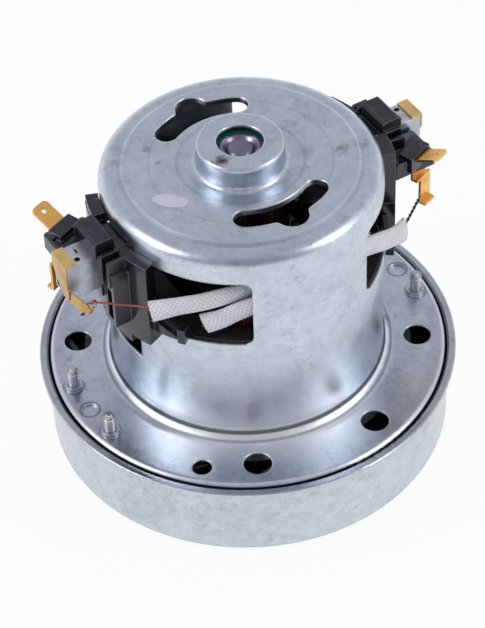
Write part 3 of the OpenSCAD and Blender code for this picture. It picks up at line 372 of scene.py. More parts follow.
def plain_metal(name, base, rough, grain=0.4, spread=0.14, tint=None, upright_shade=None):
    """Turned or pressed metal: fine grain, cloudy tarnish, painted shade on upright faces and
    painted edge highlights.
    """
    f = Finish(name)
    cloud = f.noise(4.5, 4, 0.6)
    fine = f.noise(grain, 2, 0.5)
    colour = f.mix(f.span(cloud, 0.38, 0.68), base, tint or scaled(base, 0.72))
    colour = f.mix(f.span(fine, 0.35, 0.7, 0, spread), colour, scaled(base, 0.55))
    # Painted shade that makes upright faces darker
    if upright_shade:
        shade, share = upright_shade
        colour = f.mix(f.span(f.levelness(), 0.2, 0.8, share, 0), colour, shade)
    rounded = f.soft_edges(0.18)
    # Painted highlight along the edges
    colour = f.mix(f.times(f.edge_mask(rounded), 0.5), colour, scaled(base, 1.25))
    f.set("Base Color", colour)
    f.set("Metallic", 1.0)
    f.set("Roughness", f.span(cloud, 0.3, 0.7, rough - 0.06, rough + 0.1))
    f.set("Normal", f.bump(fine, 0.008, 0.4, rounded))
    return f.material


def moulded(name, base, rough):
    """Moulded plastic: eroded mould grain, flow clouds, dust and painted highlights along the
    edges.
    """
    f = Finish(name)
    flow = f.noise(12, 3, 0.6)
    fine = f.noise(0.35, 2, 0.5)
    colour = f.mix(f.span(flow, 0.35, 0.7), base, scaled(base, 1.5, 0.004))
    dust = f.times(f.span(f.noise(3.2, 4, 0.65), 0.56, 0.72, 0, 0.25), f.levelness())
    colour = f.mix(dust, colour, (0.16, 0.16, 0.17))
    rounded = f.soft_edges(0.45)
    # Painted highlight that pales the edges
    colour = f.mix(f.times(f.edge_mask(rounded), 0.6), colour, scaled(base, 2.4, 0.3))
    wear = f.weighed((flow, 0.6), (fine, 0.4))
    f.set("Base Color", colour)
    f.set("Specular IOR Level", 0.66)
    f.set("Specular Tint", (0.86, 0.86, 1.0))
    f.set("Roughness", f.span(wear, 0.3, 0.7, rough - 0.07, rough + 0.1))
    f.set("Normal", f.bump(fine, 0.012, 0.5, rounded))
    return f.material


def laminated(name, base, rough):
    """Stack of half millimetre core sheets with brown varnish runs."""
    f = Finish(name)
    stack = f.waves(0.5, "Z", 0.4)
    varnish = f.span(f.noise(6, 4, 0.6), 0.42, 0.62)
    colour = f.mix(stack, scaled(base, 0.5), base)
    colour = f.mix(f.times(varnish, 0.6), colour, (0.022, 0.01, 0.008))
    f.set("Base Color", colour)
    f.set("Metallic", f.span(varnish, 0, 1, 0.9, 0.25))
    f.set("Roughness", f.span(varnish, 0, 1, rough, rough - 0.15))
    f.set("Normal", f.bump(stack, 0.05, 0.7))
    return f.material


def varnished_wire(name, base, dark, rough):
    """Enamelled wire dipped in varnish, darker where the varnish pooled."""
    f = Finish(name)
    pool = f.span(f.noise(5, 4, 0.6), 0.36, 0.66)
    fine = f.noise(0.5, 2, 0.5)
    colour = f.mix(pool, base, dark)
    f.set("Base Color", f.mix(f.span(fine, 0.4, 0.7, 0, 0.3), colour, dark))
    f.set("Metallic", 0.25)
    f.set("Roughness", f.span(pool, 0, 1, rough + 0.1, rough - 0.08))
    f.set("Coat Weight", 0.4)
    f.set("Coat Roughness", 0.2)
    f.set("Normal", f.bump(fine, 0.02, 0.5))
    return f.material


def dull_solid(name, base, rough, grain, depth, sheen=0.0):
    """Carbon, rubber, resin or tape: matt, with pores and smears."""
    f = Finish(name)
    smear = f.noise(3, 4, 0.6)
    pores = f.cells(grain)
    colour = f.mix(f.span(smear, 0.35, 0.7), base, scaled(base, 1.7, 0.005))
    f.set("Base Color", f.mix(f.span(pores, 0, 0.4, 0.5, 0), colour, scaled(base, 0.4)))
    f.set("Roughness", f.span(smear, 0.3, 0.7, rough - 0.08, rough + 0.08))
    f.set("Sheen Weight", sheen)
    f.set("Normal", f.bump(pores, depth, 0.5, f.soft_edges(0.15)))
    return f.material


def woven(name, base, shade):
    """Braided glass sleeving: strands that cross in the sleeve's own coordinates."""
    f = Finish(name)
    node = f.node("UVMap")
    node.uv_map = "lay"
    u, v, _ = f.split(node.outputs[0])
    one = f.math("SINE", f.times(f.plus(u, v), math.pi))
    two = f.math("SINE", f.times(f.minus(u, v), math.pi))
    over = f.span(f.times(one, two), -0.06, 0.06)
    weave = f.weighed((f.math("ABSOLUTE", one), over),
                      (f.math("ABSOLUTE", two), f.minus(1.0, over)))
    grime = f.span(f.noise(4, 4, 0.65), 0.4, 0.72)
    fibre = f.noise(0.25, 2, 0.5)
    colour = f.mix(f.span(weave, 0.05, 0.75), shade, base)
    colour = f.mix(f.span(fibre, 0.4, 0.7, 0, 0.35), colour, shade)
    colour = f.mix(f.times(grime, 0.28), colour, (0.42, 0.37, 0.36))
    f.set("Base Color", colour)
    f.set("Roughness", f.span(weave, 0.1, 0.9, 0.8, 0.5))
    f.set("Sheen Weight", 0.25)
    f.set("Subsurface Weight", 0.08)
    f.set("Subsurface Radius", (0.002, 0.002, 0.002))
    f.set("Normal", f.bump(weave, 0.12, 0.7))
    return f.material


def coated_wire(name, base, rough):
    """Enamel on a thin wire, with a wavy surface."""
    f = Finish(name)
    wavy = f.noise(1.4, 3, 0.6)
    f.set("Base Color", f.mix(f.span(wavy, 0.35, 0.7), base, scaled(base, 0.5)))
    f.set("Roughness", f.span(wavy, 0.3, 0.7, rough - 0.08, rough + 0.1))
    f.set("Coat Weight", 0.5)
    f.set("Coat Roughness", 0.15)
    f.set("Normal", f.bump(wavy, 0.03, 0.4))
    return f.material


def sealed_rubber(name, base, pitch):
    """Bearing seal: moulded rubber with raised rings, a pitch apart."""
    f = Finish(name)
    ripple = f.math("SINE", f.times(f.from_shaft(), TURN * PER_METRE / pitch))
    grime = f.span(f.noise(1.8, 4, 0.6), 0.42, 0.66)
    colour = f.mix(f.span(ripple, -1, 1, 0.5, 0), base, scaled(base, 0.45))
    f.set("Base Color", f.mix(f.times(grime, 0.5), colour, (0.02, 0.03, 0.03)))
    f.set("Roughness", f.span(grime, 0, 1, 0.35, 0.55))
    f.set("Normal", f.bump(ripple, 0.06, 0.5))
    return f.material


def label_stock(name, base):
    """Bare paper label: fibres and rubbed patches."""
    f = Finish(name)
    fibre = f.noise(0.5, 4, 0.65, (1, 3, 1))
    rub = f.span(f.noise(2.4, 3, 0.6), 0.4, 0.7)
    colour = f.mix(f.times(rub, 0.3), base, scaled(base, 0.8))
    f.set("Base Color", f.mix(f.span(fibre, 0.4, 0.7, 0, 0.2), colour, scaled(base, 0.72)))
    f.set("Roughness", f.span(rub, 0, 1, 0.42, 0.6))
    f.set("Normal", f.bump(fibre, 0.02, 0.4))
    return f.material


# Stains: place, size, colour and share
HOUSING_STAINS = (
    ((-9.3, -4.6, BOSS_Z), 4.2, BROWN, 1.0),
    ((-20.6, 19.7, CROWN_Z), 3, GREY, 0.55),
    ((-20.8, 12.3, CROWN_Z), 1.6, GREY, 0.6),
    ((-27.3, 23.5, CROWN_Z), 5, GREY, 0.4),
    ((18, -7.4, CROWN_Z), 4, GREY, 0.4),
    ((27.4, -11.9, CROWN_Z), 4.5, GREY, 0.6),
    ((34.1, -12.6, CROWN_Z), 4.5, GREY, 0.5),
    ((-30.9, 19.7, CROWN_Z), 4.5, GREY, 0.45),
    ((12, -37, 102), 4, GREY, 0.35),
    ((-51.3, 22.5, FLANGE_Z), 2.5, GREY, 0.5),
    ((-44, 32, FLANGE_Z), 7, GREY, 0.3),
    ((20, -44, 60), 6, GREY, 0.25),
)
CASE_STAINS = (
    ((30, -55, 20), 5, GREY, 0.3),
    ((-50, -38, 14), 4, GREY, 0.25),
)

# Rings: inner and outer radius, fade, share, colour, and whether on level faces only
# Housing: dark rings are painted shade in the groove at the lip, on the flange beside it, at both
# ends of the can's foot fillet and at the dish's edge; pale rings are painted highlights on the
# flange's rounded edge and mid-fillet; the two faint crown rings are darker lines
HOUSING_RINGS = (
    (61.7, 64, 0.2, 0.9, DARK_RING, False),
    (60.6, 61.3, 0.3, 0.5, PALE, False),
    (57.8, 60, 1.5, 0.1, DARK_RING, False),
    (44.45, 44.95, 0.35, 0.5, DARK_RING, False),
    (43.3, 43.65, 0.2, 0.8, PALE, False),
    (42.55, 42.95, 0.2, 0.85, DARK_RING, False),
    (18.6, 19, 0.7, 0.15, DARK_RING, True),
    (27.1, 27.3, 0.5, 0.12, DARK_RING, True),
    (35.7, 36.3, 0.45, 0.32, DARK_RING, True),
)
# Case: painted shade in the groove under the flange's edge and on the lip's top
CASE_RINGS = (
    (61, 62.2, 0.3, 0.9, DARK_RING, False),
    (62, 62.8, 0.3, 0.85, DARK_RING, True),
    (62.8, 65.2, 0.3, 0.12, DARK_RING, True),
)

# Outlines: centre, radius and share
# Each outline paints shade round the foot of a raised pip or a screw collar
PIPS = [((x, 0, 28.9), 3.1, 0.75) for x in (-PIP_X, PIP_X)]
COLLARS = [(around(SCREW_R, angle, 28.7), 3.3, 0.55) for angle in SCREW_ANGLES]

# Dish: inner and outer radius and depth; foot: heights, radii, share and angle
DISH = (17.3, 20, 0.12)
FOOT = (34, 56, 47, 56, 0.7, -116)

housing = zinc_sheet("zinc_housing", (0.6, 0.66, 0.745), rough=0.32, cloud_size=16,
                     stains=HOUSING_STAINS, rings=HOUSING_RINGS, outlines=PIPS + COLLARS,
                     rim=0.9, dish=DISH, foot=FOOT, glint=(0.12, 0.85))
case = zinc_sheet("zinc_case", (0.575, 0.63, 0.69), rough=0.28, cloud_size=20,
                  stains=CASE_STAINS, rings=CASE_RINGS)
# The bracket is near-black as painted shade, so the flange holes over it look deep
bracket = plain_metal("bracket_dark_for_shade", (0.05, 0.05, 0.055), rough=0.45, grain=0.6)
race_steel = plain_metal("race_steel", (0.3, 0.28, 0.33), rough=0.3)
bright = plain_metal("turned_steel", (0.62, 0.62, 0.66), rough=0.28)
dark_shaft = plain_metal("ground_shaft", (0.29, 0.265, 0.34), rough=0.34, grain=0.3)
tube_steel = plain_metal("bright_tube", (0.68, 0.7, 0.76), rough=0.3, grain=0.6, spread=0.08,
                         upright_shade=((0.36, 0.39, 0.46), 0.55))
spring_steel = plain_metal("spring_steel", (0.38, 0.38, 0.42), rough=0.32)
brass = plain_metal("spring_brass", (0.95, 0.64, 0.27), rough=0.3, grain=0.7, spread=0.1,
                    tint=(0.74, 0.46, 0.18), upright_shade=((0.36, 0.23, 0.09), 0.6))
tab_brass = plain_metal("tab_brass", (0.95, 0.56, 0.17), rough=0.36, grain=0.7, spread=0.1,
                        tint=(0.78, 0.43, 0.12))
copper = plain_metal("bare_copper", (0.78, 0.4, 0.24), rough=0.3)
worn_copper = plain_metal("worn_copper", (0.075, 0.026, 0.02), rough=0.4, spread=0.3,
                          tint=(0.025, 0.014, 0.012))
solder = plain_metal("solder", (0.7, 0.7, 0.72), rough=0.35, grain=0.5, spread=0.2)
fan_metal = plain_metal("fan_sheet", (0.6, 0.62, 0.66), rough=0.34, grain=0.8, spread=0.1)
core = laminated("core_sheets", (0.07, 0.066, 0.066), rough=0.5)
black = moulded("black_moulding", (0.006, 0.006, 0.01), rough=0.17)
dark_plastic = moulded("dark_moulding", (0.012, 0.012, 0.013), rough=0.5)
coil_wire = varnished_wire("varnished_coil", (0.13, 0.03, 0.018),
                           dark=(0.025, 0.009, 0.007), rough=0.35)
winding = varnished_wire("varnished_winding", (0.15, 0.04, 0.02),
                         dark=(0.03, 0.011, 0.008), rough=0.35)
resin = dull_solid("brown_resin", (0.12, 0.055, 0.03), rough=0.5, grain=0.6, depth=0.02)
carbon = dull_solid("brush_carbon", (0.03, 0.03, 0.032), rough=0.55, grain=0.3, depth=0.015)
rubber = dull_solid("boot_rubber", (0.02, 0.02, 0.02), rough=0.7, grain=0.5, depth=0.02, sheen=0.2)
tape = dull_solid("coil_tape", (0.1, 0.05, 0.03), rough=0.6, grain=0.8, depth=0.03)
seal = sealed_rubber("teal_seal", (0.006, 0.12, 0.1), pitch=1.1)
sleeving = woven("glass_sleeving", (0.86, 0.855, 0.89), shade=(0.55, 0.54, 0.57))
red_wire = coated_wire("red_enamel", (0.46, 0.075, 0.065), rough=0.35)
dark_wire = coated_wire("brown_enamel", (0.06, 0.03, 0.026), rough=0.35)
paper = label_stock("bare_label", (0.61, 0.61, 0.71))


# Finish of each CAD node

finishes = {
    "motor_housing": housing,
    "fan_cover": case,
    "bearing_bracket": bracket,
    "diffuser": dark_plastic,
    "diffuser_screws": bright,
    "stator_core": core,
    "armature_core": core,
    "armature_winding": winding,
    "shaft": dark_shaft,
    "shaft_spacer": bright,
    "commutator_hub": resin,
    "commutator_bars": worn_copper,
    "bearing_boot": rubber,
    "wave_washer": spring_steel,
    "impeller_nut": bright,
    "impeller_back_plate": fan_metal,
    "impeller_blades": fan_metal,
    "impeller_shroud": fan_metal,
}
for place in ("front", "rear"):
    finishes[f"field_coil_{place}"] = coil_wire
    finishes[f"lead_sleeves_{place}"] = sleeving
    finishes[f"lead_wires_{place}"] = red_wire
for place in ("upper", "lower"):
    finishes[f"{place}_bearing_outer"] = bright
    finishes[f"{place}_bearing_inner"] = race_steel
    finishes[f"{place}_bearing_balls"] = bright
    finishes[f"{place}_bearing_seals"] = seal
    finishes[f"{place}_clamp_washer"] = bright
for place in ("left", "right"):
    finishes[f"brush_holder_{place}"] = black
    finishes[f"brush_tube_{place}"] = tube_steel
    finishes[f"brush_cap_{place}"] = brass
    finishes[f"carbon_brush_{place}"] = carbon
    finishes[f"brush_spring_{place}"] = spring_steel
    finishes[f"brush_lead_{place}"] = copper
    finishes[f"terminal_{place}"] = tab_brass
for name, node in nodes.items():
    node.data.materials.clear()
    node.data.materials.append(finishes[name])


# Mesh helpers; points are in millimetres

STRANDS = 10


def new_object(name, data):
    obj = bpy.data.objects.new(name, data)
    bpy.context.scene.collection.objects.link(obj)
    return obj


def lay_strands(mesh, lay):
    """Round and lengthways coordinates for a braid, carried past the seam."""
    layer = mesh.uv_layers.new(name="lay")
    for face in mesh.polygons:
        spots = [lay[mesh.loops[i].vertex_index] for i in face.loop_indices]
        most = max(u for u, v in spots)
        for i, (u, v) in zip(face.loop_indices, spots):
            layer.data[i].uv = (u + STRANDS if most - u > STRANDS / 2 else u, v)


def make(name, bundle, material, body, lay=None):
    """A smooth piece from a bundle, riding on a body."""
    mesh = bpy.data.meshes.new(name)
    mesh.from_pydata([[c * MM for c in p] for p in bundle.points], [], bundle.faces)
    mesh.materials.append(material)
    mesh.polygons.foreach_set("use_smooth", [True] * len(mesh.polygons))
    if lay:
        lay_strands(mesh, lay)
    mesh.update()
    obj = new_object(name, mesh)
    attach(obj, body)
    return obj


def route(points, steps):
    """Smooth curve through points."""
    out = []
    last = len(points) - 1
    for i in range(last):
        a = points[max(i - 1, 0)]
        b = points[i]
        c = points[i + 1]
        d = points[min(i + 2, last)]
        for s in range(steps):
            t = s / steps
            out.append(0.5 * (2 * b + (c - a) * t + (2 * a - 5 * b + 4 * c - d) * t * t
                              + (3 * b - a - 3 * c + d) * t * t * t))
    out.append(points[-1])
    return out


def way(path, i):
    """Direction of a path at one of its points."""
    return (path[min(i + 1, len(path) - 1)] - path[max(i - 1, 0)]).normalized()


class Bundle:
    """Points and faces gathered from several sweeps."""

    def __init__(self):
        self.points = []
        self.faces = []
        self.lay = []

    def grid(self, rings, lay=None):
        """Closed skin over rings of points."""
        start = len(self.points)
        n = len(rings[0])
        for i, ring in enumerate(rings):
            for k, p in enumerate(ring):
                self.points.append(p)
                self.lay.append(lay(i, k) if lay else (0, 0))
        for i in range(len(rings) - 1):
            for k in range(n):
                a = start + i * n + k
                b = start + i * n + (k + 1) % n
                self.faces.append((a, b, b + n, a + n))
        self.faces.append(tuple(start + k for k in reversed(range(n))))
        self.faces.append(tuple(start + (len(rings) - 1) * n + k for k in range(n)))

    def wire(self, path, radius, sides, taper=None):
        """Round wire along a path, with frames carried along without twist."""
        rings = []
        side = way(path, 0).orthogonal().normalized()
        for i, p in enumerate(path):
            t = way(path, i)
            side = (side - side.dot(t) * t).normalized()
            other = t.cross(side)
            r = radius * (taper(i / (len(path) - 1)) if taper else 1)
            rings.append([p + r * (math.cos(a) * side + math.sin(a) * other)
                          for a in angles(sides)])
        self.grid(rings)

    def turned(self):
        """The same bundle turned half round about the shaft."""
        out = Bundle()
        out.points = [Vector((-p[0], -p[1], p[2])) for p in self.points]
        out.faces = list(self.faces)
        out.lay = list(self.lay)
        return out


def both_sides(bundle, name, material, node=None):
    """Makes a bundle and its turned copy on the motor's frame, in place of a pair of nodes."""
    for part, place in ((bundle, "front"), (bundle.turned(), "rear")):
        obj = make(f"{name}_{place}", part, material, "motor_frame", part.lay)
        if node:
            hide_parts(f"{node}_{place}")


# Woven sleeves over the coil leads

SLEEVE_THIN = 1.2
SLEEVE_WIDE = 3.15
SLEEVE_WALL = 0.4
SLEEVE_SIDES = 60
STRAND_PITCH = 1.4
STRAND_SINK = 0.05
STRAND_LIFT = 0.1
MOUTH_FLARE = 0.18
FLARE_LENGTH = 8
MOUTH_DEPTH = 9
LOOSE_THREADS = 12
LOOSE_R = 0.07
OVER_COIL = (3.4, 1)


def sleeve_route(steps, coil_x):
    """Route to the coil, from distances outside the can, angles and heights over the brushes."""
    out = [Vector(around(CAN_R + off, angle, BRUSH_Z + rise)) for off, angle, rise in steps]
    for rise in OVER_COIL:
        out.append(Vector((coil_x, COIL_Y, COIL_TOP + rise)))
    return out


ROUTE_A = sleeve_route((
    (5.8, -155.1, -6.9), (1.7, -147.2, -5.5), (-1.6, -137.6, -4.4),
    (-4.7, -127.3, -3.6), (-6.9, -116.6, -3.9), (-9.3, -107.7, -6.5),
), -8)
ROUTE_B = sleeve_route((
    (-1.8, -137.8, -13.3), (-2.6, -130.9, -11.3), (-3, -123.4, -8.3),
    (-3, -114.1, -5.7), (-3.2, -103.3, -5.5), (-5.1, -94.6, -6.6),
), 0.4)
ROUTE_C = sleeve_route((
    (6.5, -25.8, -18.5), (4.3, -31.3, -15.9), (1.2, -39.8, -12.1), (-1.1, -48.9, -7.9),
    (-3.1, -59.2, -4.7), (-5.7, -68.5, -5.3), (-9.9, -73.1, -6.9),
), 8.4)


def sleeve_rings(path, grow, braid=0.0):
    """Oval rings along a sleeve, flared at its mouth; braid lifts the strands."""
    rings = []
    walked = 0.0
    for i, p in enumerate(path):
        t = way(path, i)
        out = Vector((p[0], p[1], 0))
        u = (out - out.dot(t) * t).normalized()
        v = t.cross(u)
        if i:
            walked += (p - path[i - 1]).length
        flare = 1 + MOUTH_FLARE * max(0, 1 - walked / FLARE_LENGTH)
        ring = []
        for k, a in enumerate(angles(SLEEVE_SIDES)):
            turn = STRANDS * k / SLEEVE_SIDES
            one = math.sin(math.pi * (turn + walked / STRAND_PITCH))
            two = math.sin(math.pi * (turn - walked / STRAND_PITCH))
            lift = braid * (abs(one) if one * two > 0 else abs(two))
            ring.append(p + (SLEEVE_THIN + grow + lift) * math.cos(a) * u
                        + (SLEEVE_WIDE * flare + grow + lift) * math.sin(a) * v)
        rings.append(ring)
    return rings


def add_sleeve(bundle, points):
    """One hollow braided sleeve with loose threads at its mouth."""
    path = route(points, steps=24)
    far = [0.0]
    for i in range(1, len(path)):
        far.append(far[-1] + (path[i] - path[i - 1]).length)
    deep = next(i for i, d in enumerate(far) if d > MOUTH_DEPTH)
    outer = sleeve_rings(path, -STRAND_SINK, STRAND_LIFT)
    inner = sleeve_rings(path[:deep], -SLEEVE_WALL)
    strip = list(reversed(inner)) + outer
    reach = [far[i] for i in reversed(range(deep))] + far
    bundle.grid(strip, lambda i, k: (STRANDS * k / SLEEVE_SIDES, reach[i] / STRAND_PITCH))
    out = (path[0] - path[1]).normalized()
    for k in range(LOOSE_THREADS):
        a = TURN * (k + chance.uniform(-0.4, 0.4)) / LOOSE_THREADS
        j = int(a / TURN * SLEEVE_SIDES) % SLEEVE_SIDES
        root = outer[1][j] * 0.75 + inner[1][j] * 0.25
        away = (outer[1][j] - path[1]).normalized()
        length = chance.uniform(0.2, 0.7)
        bend = chance.uniform(-0.4, 0.3)
        stray = Vector([chance.uniform(-0.15, 0.15) for _ in range(3)])
        thread = [root - 0.5 * out, root, root + length * 0.5 * out + 0.2 * bend * away,
                  root + length * out + bend * 0.6 * away + stray]
        bundle.wire(route(thread, steps=4), LOOSE_R, sides=5)


sleeves = Bundle()
for points in (ROUTE_A, ROUTE_B, ROUTE_C):
    add_sleeve(sleeves, points)
both_sides(sleeves, "woven_sleeves", sleeving, "lead_sleeves")


# Bare ends of the leads

RED_R = 0.3
TWIST_R = 0.26
TWIST_OFF = 0.27
TWIST_PITCH = 3.2
WIRE_A = [Vector(p) for p in (
    (-57.856, -9.528, 80.931), (-57.357, -10.597, 83.58),
    (-46.19, -18.91, 81.67), (-44.19, -19.91, 81.47),
)]
WIRE_C = [Vector(p) for p in (
    (53.317, -15.089, 71.7), (46.50, -19.49, 70.36), (44.90, -20.49, 70.36),
)]


def twisted_pair(path):
    """Two strands wound round a path."""
    strands = ([], [])
    run = 0.0
    for i, p in enumerate(path):
        t = way(path, i)
        u = t.cross(UP).normalized()
        v = u.cross(t)
        if i:
            run += (p - path[i - 1]).length
        for s, strand in enumerate(strands):
            a = TURN * run / TWIST_PITCH + math.pi * s
            strand.append(p + TWIST_OFF * (math.cos(a) * u + math.sin(a) * v))
    return strands


red = Bundle()
inside_a = route(ROUTE_A, steps=4)
lifted = WIRE_A[:2] + [WIRE_A[2] + 1.2 * UP, WIRE_A[3] + 1.1 * UP]
into_a = [inside_a[3] + 0.5 * UP, inside_a[6]]
red.wire(route(lifted + into_a, steps=14), RED_R, sides=10)
both_sides(red, "red_lead", red_wire, "lead_wires")

twist = Bundle()
inside_c = route(ROUTE_C, steps=4)
into_c = [inside_c[3] + 0.6 * UP, inside_c[6]]
for strand in twisted_pair(route(WIRE_C + into_c, steps=18)):
    twist.wire(strand, TWIST_R, sides=8)
both_sides(twist, "twisted_lead", dark_wire)


# Solder and the wire's cut end in the hook of each lug

EYE = WIRE_A[0]
UP_LUG = (WIRE_A[1] - WIRE_A[0]).normalized()
FROM_CAN = Vector((EYE[0], EYE[1], 0)).normalized()
ALONG_LUG = UP_LUG.cross(FROM_CAN).normalized()
DROP_ROWS = 16
CUT_R = 0.38


def by_lug(up, out):
    """Point at distances up the lug and away from the can, from the eye."""
    return EYE + up * UP_LUG + out * FROM_CAN


def solder_drop(bundle, centre, wide, tall):
    """Lumpy drop, wide across the lug and tall along it."""
    rings = []
    for i in range(1, DROP_ROWS):
        b = math.pi * i / DROP_ROWS
        ring = []
        for a in angles(20):
            lump = 1 + 0.09 * math.sin(3 * a + 2 * b) + 0.07 * math.sin(5 * b + a + wide)
            across_lug = math.cos(a) * FROM_CAN + math.sin(a) * ALONG_LUG
            ring.append(centre + wide * lump * math.sin(b) * across_lug
                        - tall * lump * math.cos(b) * UP_LUG)
        rings.append(ring)
    bundle.grid(rings)


blob = Bundle()
solder_drop(blob, by_lug(0.5, 0), wide=1.15, tall=1.7)
solder_drop(blob, by_lug(1.2, -1.1), wide=1.1, tall=1.0)
both_sides(blob, "solder_joint", solder)

cut_end = Bundle()
cut_path = [by_lug(up, out) for up, out in ((-0.6, 0), (-1.9, 0.2), (-2.6, 1.0), (-2.3, 2.1))]
cut_end.wire(route(cut_path, steps=8), CUT_R, sides=10)
both_sides(cut_end, "cut_end", dark_wire)


# Field coils, wound in one length of wire and bound with tape

COIL_DEPTH = COIL_FAR - COIL_NEAR
COIL_STEPS = 72
COIL_WIRE_R = 0.47
COIL_ROUND = 130
WIRE_INSET = 0.5
FACE_INSET = 0.55
FACE_SPAN = 4.8
OPENING_INSET = 1.5
TIGHTEST = 0.7
TAPE_PROUD = 0.08
TAPE_STEPS = 6
TAPES = ((0.02, 3.2), (0.115, 3.2), (0.31, 4), (0.5, 3.2), (0.62, 3.2), (0.83, 4))


def coil_loop(d, t):
    """Point in X and Z, a share t of the way round the coil and d out from its opening."""
    r = max(TIGHTEST, d)
    w = COIL_HALF + d - r
    low = COIL_LOW + COIL_W - d + r
    high = COIL_TOP - COIL_W + d - r
    arc = math.pi * r / 2
    legs = (2 * w, arc, high - low, arc, 2 * w, arc, high - low, arc)
    left = (t % 1) * sum(legs)
    leg = 0
    while left > legs[leg]:
        left -= legs[leg]
        leg += 1
    if leg % 2:
        corners = ((w, low, -90), (w, high, 0), (-w, high, 90), (-w, low, 180))
        x, z, turn = corners[leg // 2]
        a = math.radians(turn) + left / r
        return x + r * math.cos(a), z + r * math.sin(a)
    straights = ((-w + left, low - r), (w + r, low + left),
                 (w - left, high + r), (-w - r, high - left))
    return straights[leg // 2]


def coil_turns(bundle, turns, place):
    """One wire round the coil; place gives its distance from the opening and its depth."""
    path = []
    count = int(turns * COIL_STEPS)
    for i in range(count + 1):
        d, y = place(i / count)
        x, z = coil_loop(d, i / COIL_STEPS)
        stray = 0.07 * math.sin(0.9 * i) * math.sin(0.113 * i)
        path.append(Vector((x, -y + stray, z)))
    bundle.wire(path, COIL_WIRE_R, sides=7)


def rounded_share(c):
    """Sine or cosine of a boxy ring with rounded corners."""
    return math.copysign(abs(c) ** 0.3, c)


def tape_band(bundle, share, wide):
    """Band of tape a share of the way round the coil."""
    rings = []
    for j in range(TAPE_STEPS + 1):
        step = share + (j - TAPE_STEPS / 2) / TAPE_STEPS * wide / COIL_ROUND
        mid = Vector((*coil_loop(COIL_W / 2, step), 0))
        ahead = Vector((*coil_loop(COIL_W / 2, step + 0.002), 0))
        t = (ahead - mid).normalized()
        outward = Vector((t[1], -t[0], 0))
        ring = []
        for a in angles(40):
            u = rounded_share(math.cos(a)) * (COIL_W / 2 + TAPE_PROUD)
            v = rounded_share(math.sin(a)) * (COIL_DEPTH / 2 + TAPE_PROUD)
            x, z, _ = mid + u * outward
            ring.append(Vector((x, COIL_Y + v + 0.03 * math.sin(9 * a + j), z)))
        rings.append(ring)
    bundle.grid(rings)


field = Bundle()
coil_turns(field, 8.9, lambda t: (
    COIL_W - WIRE_INSET, COIL_NEAR + FACE_INSET + t * (COIL_DEPTH - 2 * FACE_INSET)))
coil_turns(field, 5.9, lambda t: (WIRE_INSET + FACE_SPAN * t, COIL_FAR - FACE_INSET))
coil_turns(field, 5.9, lambda t: (WIRE_INSET + FACE_SPAN * t, COIL_NEAR + FACE_INSET))
coil_turns(field, 7.9, lambda t: (
    WIRE_INSET, COIL_NEAR + OPENING_INSET + t * (COIL_DEPTH - 2 * OPENING_INSET)))
both_sides(field, "wound_coil", coil_wire, "field_coil")

bands = Bundle()
for share, wide in TAPES:
    tape_band(bands, share, wide)
both_sides(bands, "coil_tape", tape)


# Armature winding: bundles lying in the slots and crossing at both ends

SLOTS = 12
SLOT_R = 14.4
SLOT_HEIGHTS = (42, 50, 56.2, 62.4, 70.4)
SLOT_PITCH = 5
SLOT_RING_R = 1.55
SLOT_WIRE_R = 0.7
END_WIRE_R = 0.4
END_STEPS = 24
END_R = 8.3
END_LIFT = 0.6
END_PILE = 5.6
CORE_ENDS = ((43.35, -1), (69.1, 1))


def slot_wires(bundle, start):
    """Six wires round a seventh, along one slot."""
    c = math.cos(start)
    s = math.sin(start)
    spots = [(SLOT_R + SLOT_RING_R * math.cos(a), SLOT_RING_R * math.sin(a)) for a in angles(6)]
    for x, y in spots + [(SLOT_R, 0)]:
        path = [Vector((x * c - y * s, x * s + y * c, z)) for z in SLOT_HEIGHTS]
        bundle.wire(path, SLOT_WIRE_R, sides=7)


def end_turns(bundle, i, start, face, flip):
    """Nine wires from slot i to a later one, over one end of the core."""
    layer = END_LIFT + END_PILE * ((i * SLOT_PITCH) % SLOTS) / (SLOTS - 1)
    for k in range(9):
        row, column = divmod(k, 3)
        inner = END_R + 0.55 * column + 0.35 * (i % 3)
        shift = 0.42 * row
        path = []
        for j in range(END_STEPS + 1):
            t = j / END_STEPS
            a = start + TURN * SLOT_PITCH / SLOTS * t
            dip = math.sin(math.pi * t) ** 0.6
            r = (SLOT_R + 0.7 * (column - 1)) * (1 - dip) + (inner + shift) * dip
            r += 1.5 * math.sin(math.pi * min(1, 3 * t, 3 * (1 - t))) * (1 - dip)
            rise = min(1, 5 * t, 5 * (1 - t))
            z = face + flip * (layer * rise + 0.3 * shift)
            path.append(Vector((r * math.cos(a), r * math.sin(a), z)))
        bundle.wire(path, END_WIRE_R, sides=6)


armature = Bundle()
for i, start in enumerate(angles(SLOTS)):
    slot_wires(armature, start)
    for face, flip in CORE_ENDS:
        end_turns(armature, i, start, face, flip)
wound_armature = make("wound_armature", armature, winding, "rotor")
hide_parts("armature_winding")


# Brush springs and their flexible leads, which in the motor shorten as a brush is pushed back;
# here they keep one length on the motor's frame

SPRING_ENDS = (36.95, 60.6)
SPRING_R = 2.6
SPRING_WIRE_R = 0.35
LEAD_ENDS = (34.9, 60.8)
LEAD_R = 0.36
LEAD_STRANDS = 5
LEAD_WIRE_R = 0.22


def helix(ends, radius, turns, phase, samples):
    """Helix about the brush axis."""
    count = int(turns * samples)
    out = []
    for i in range(count + 1):
        a = TURN * turns * i / count + phase
        x = ends[0] + (ends[1] - ends[0]) * i / count
        out.append(Vector((x, radius * math.cos(a), BRUSH_Z + radius * math.sin(a))))
    return out


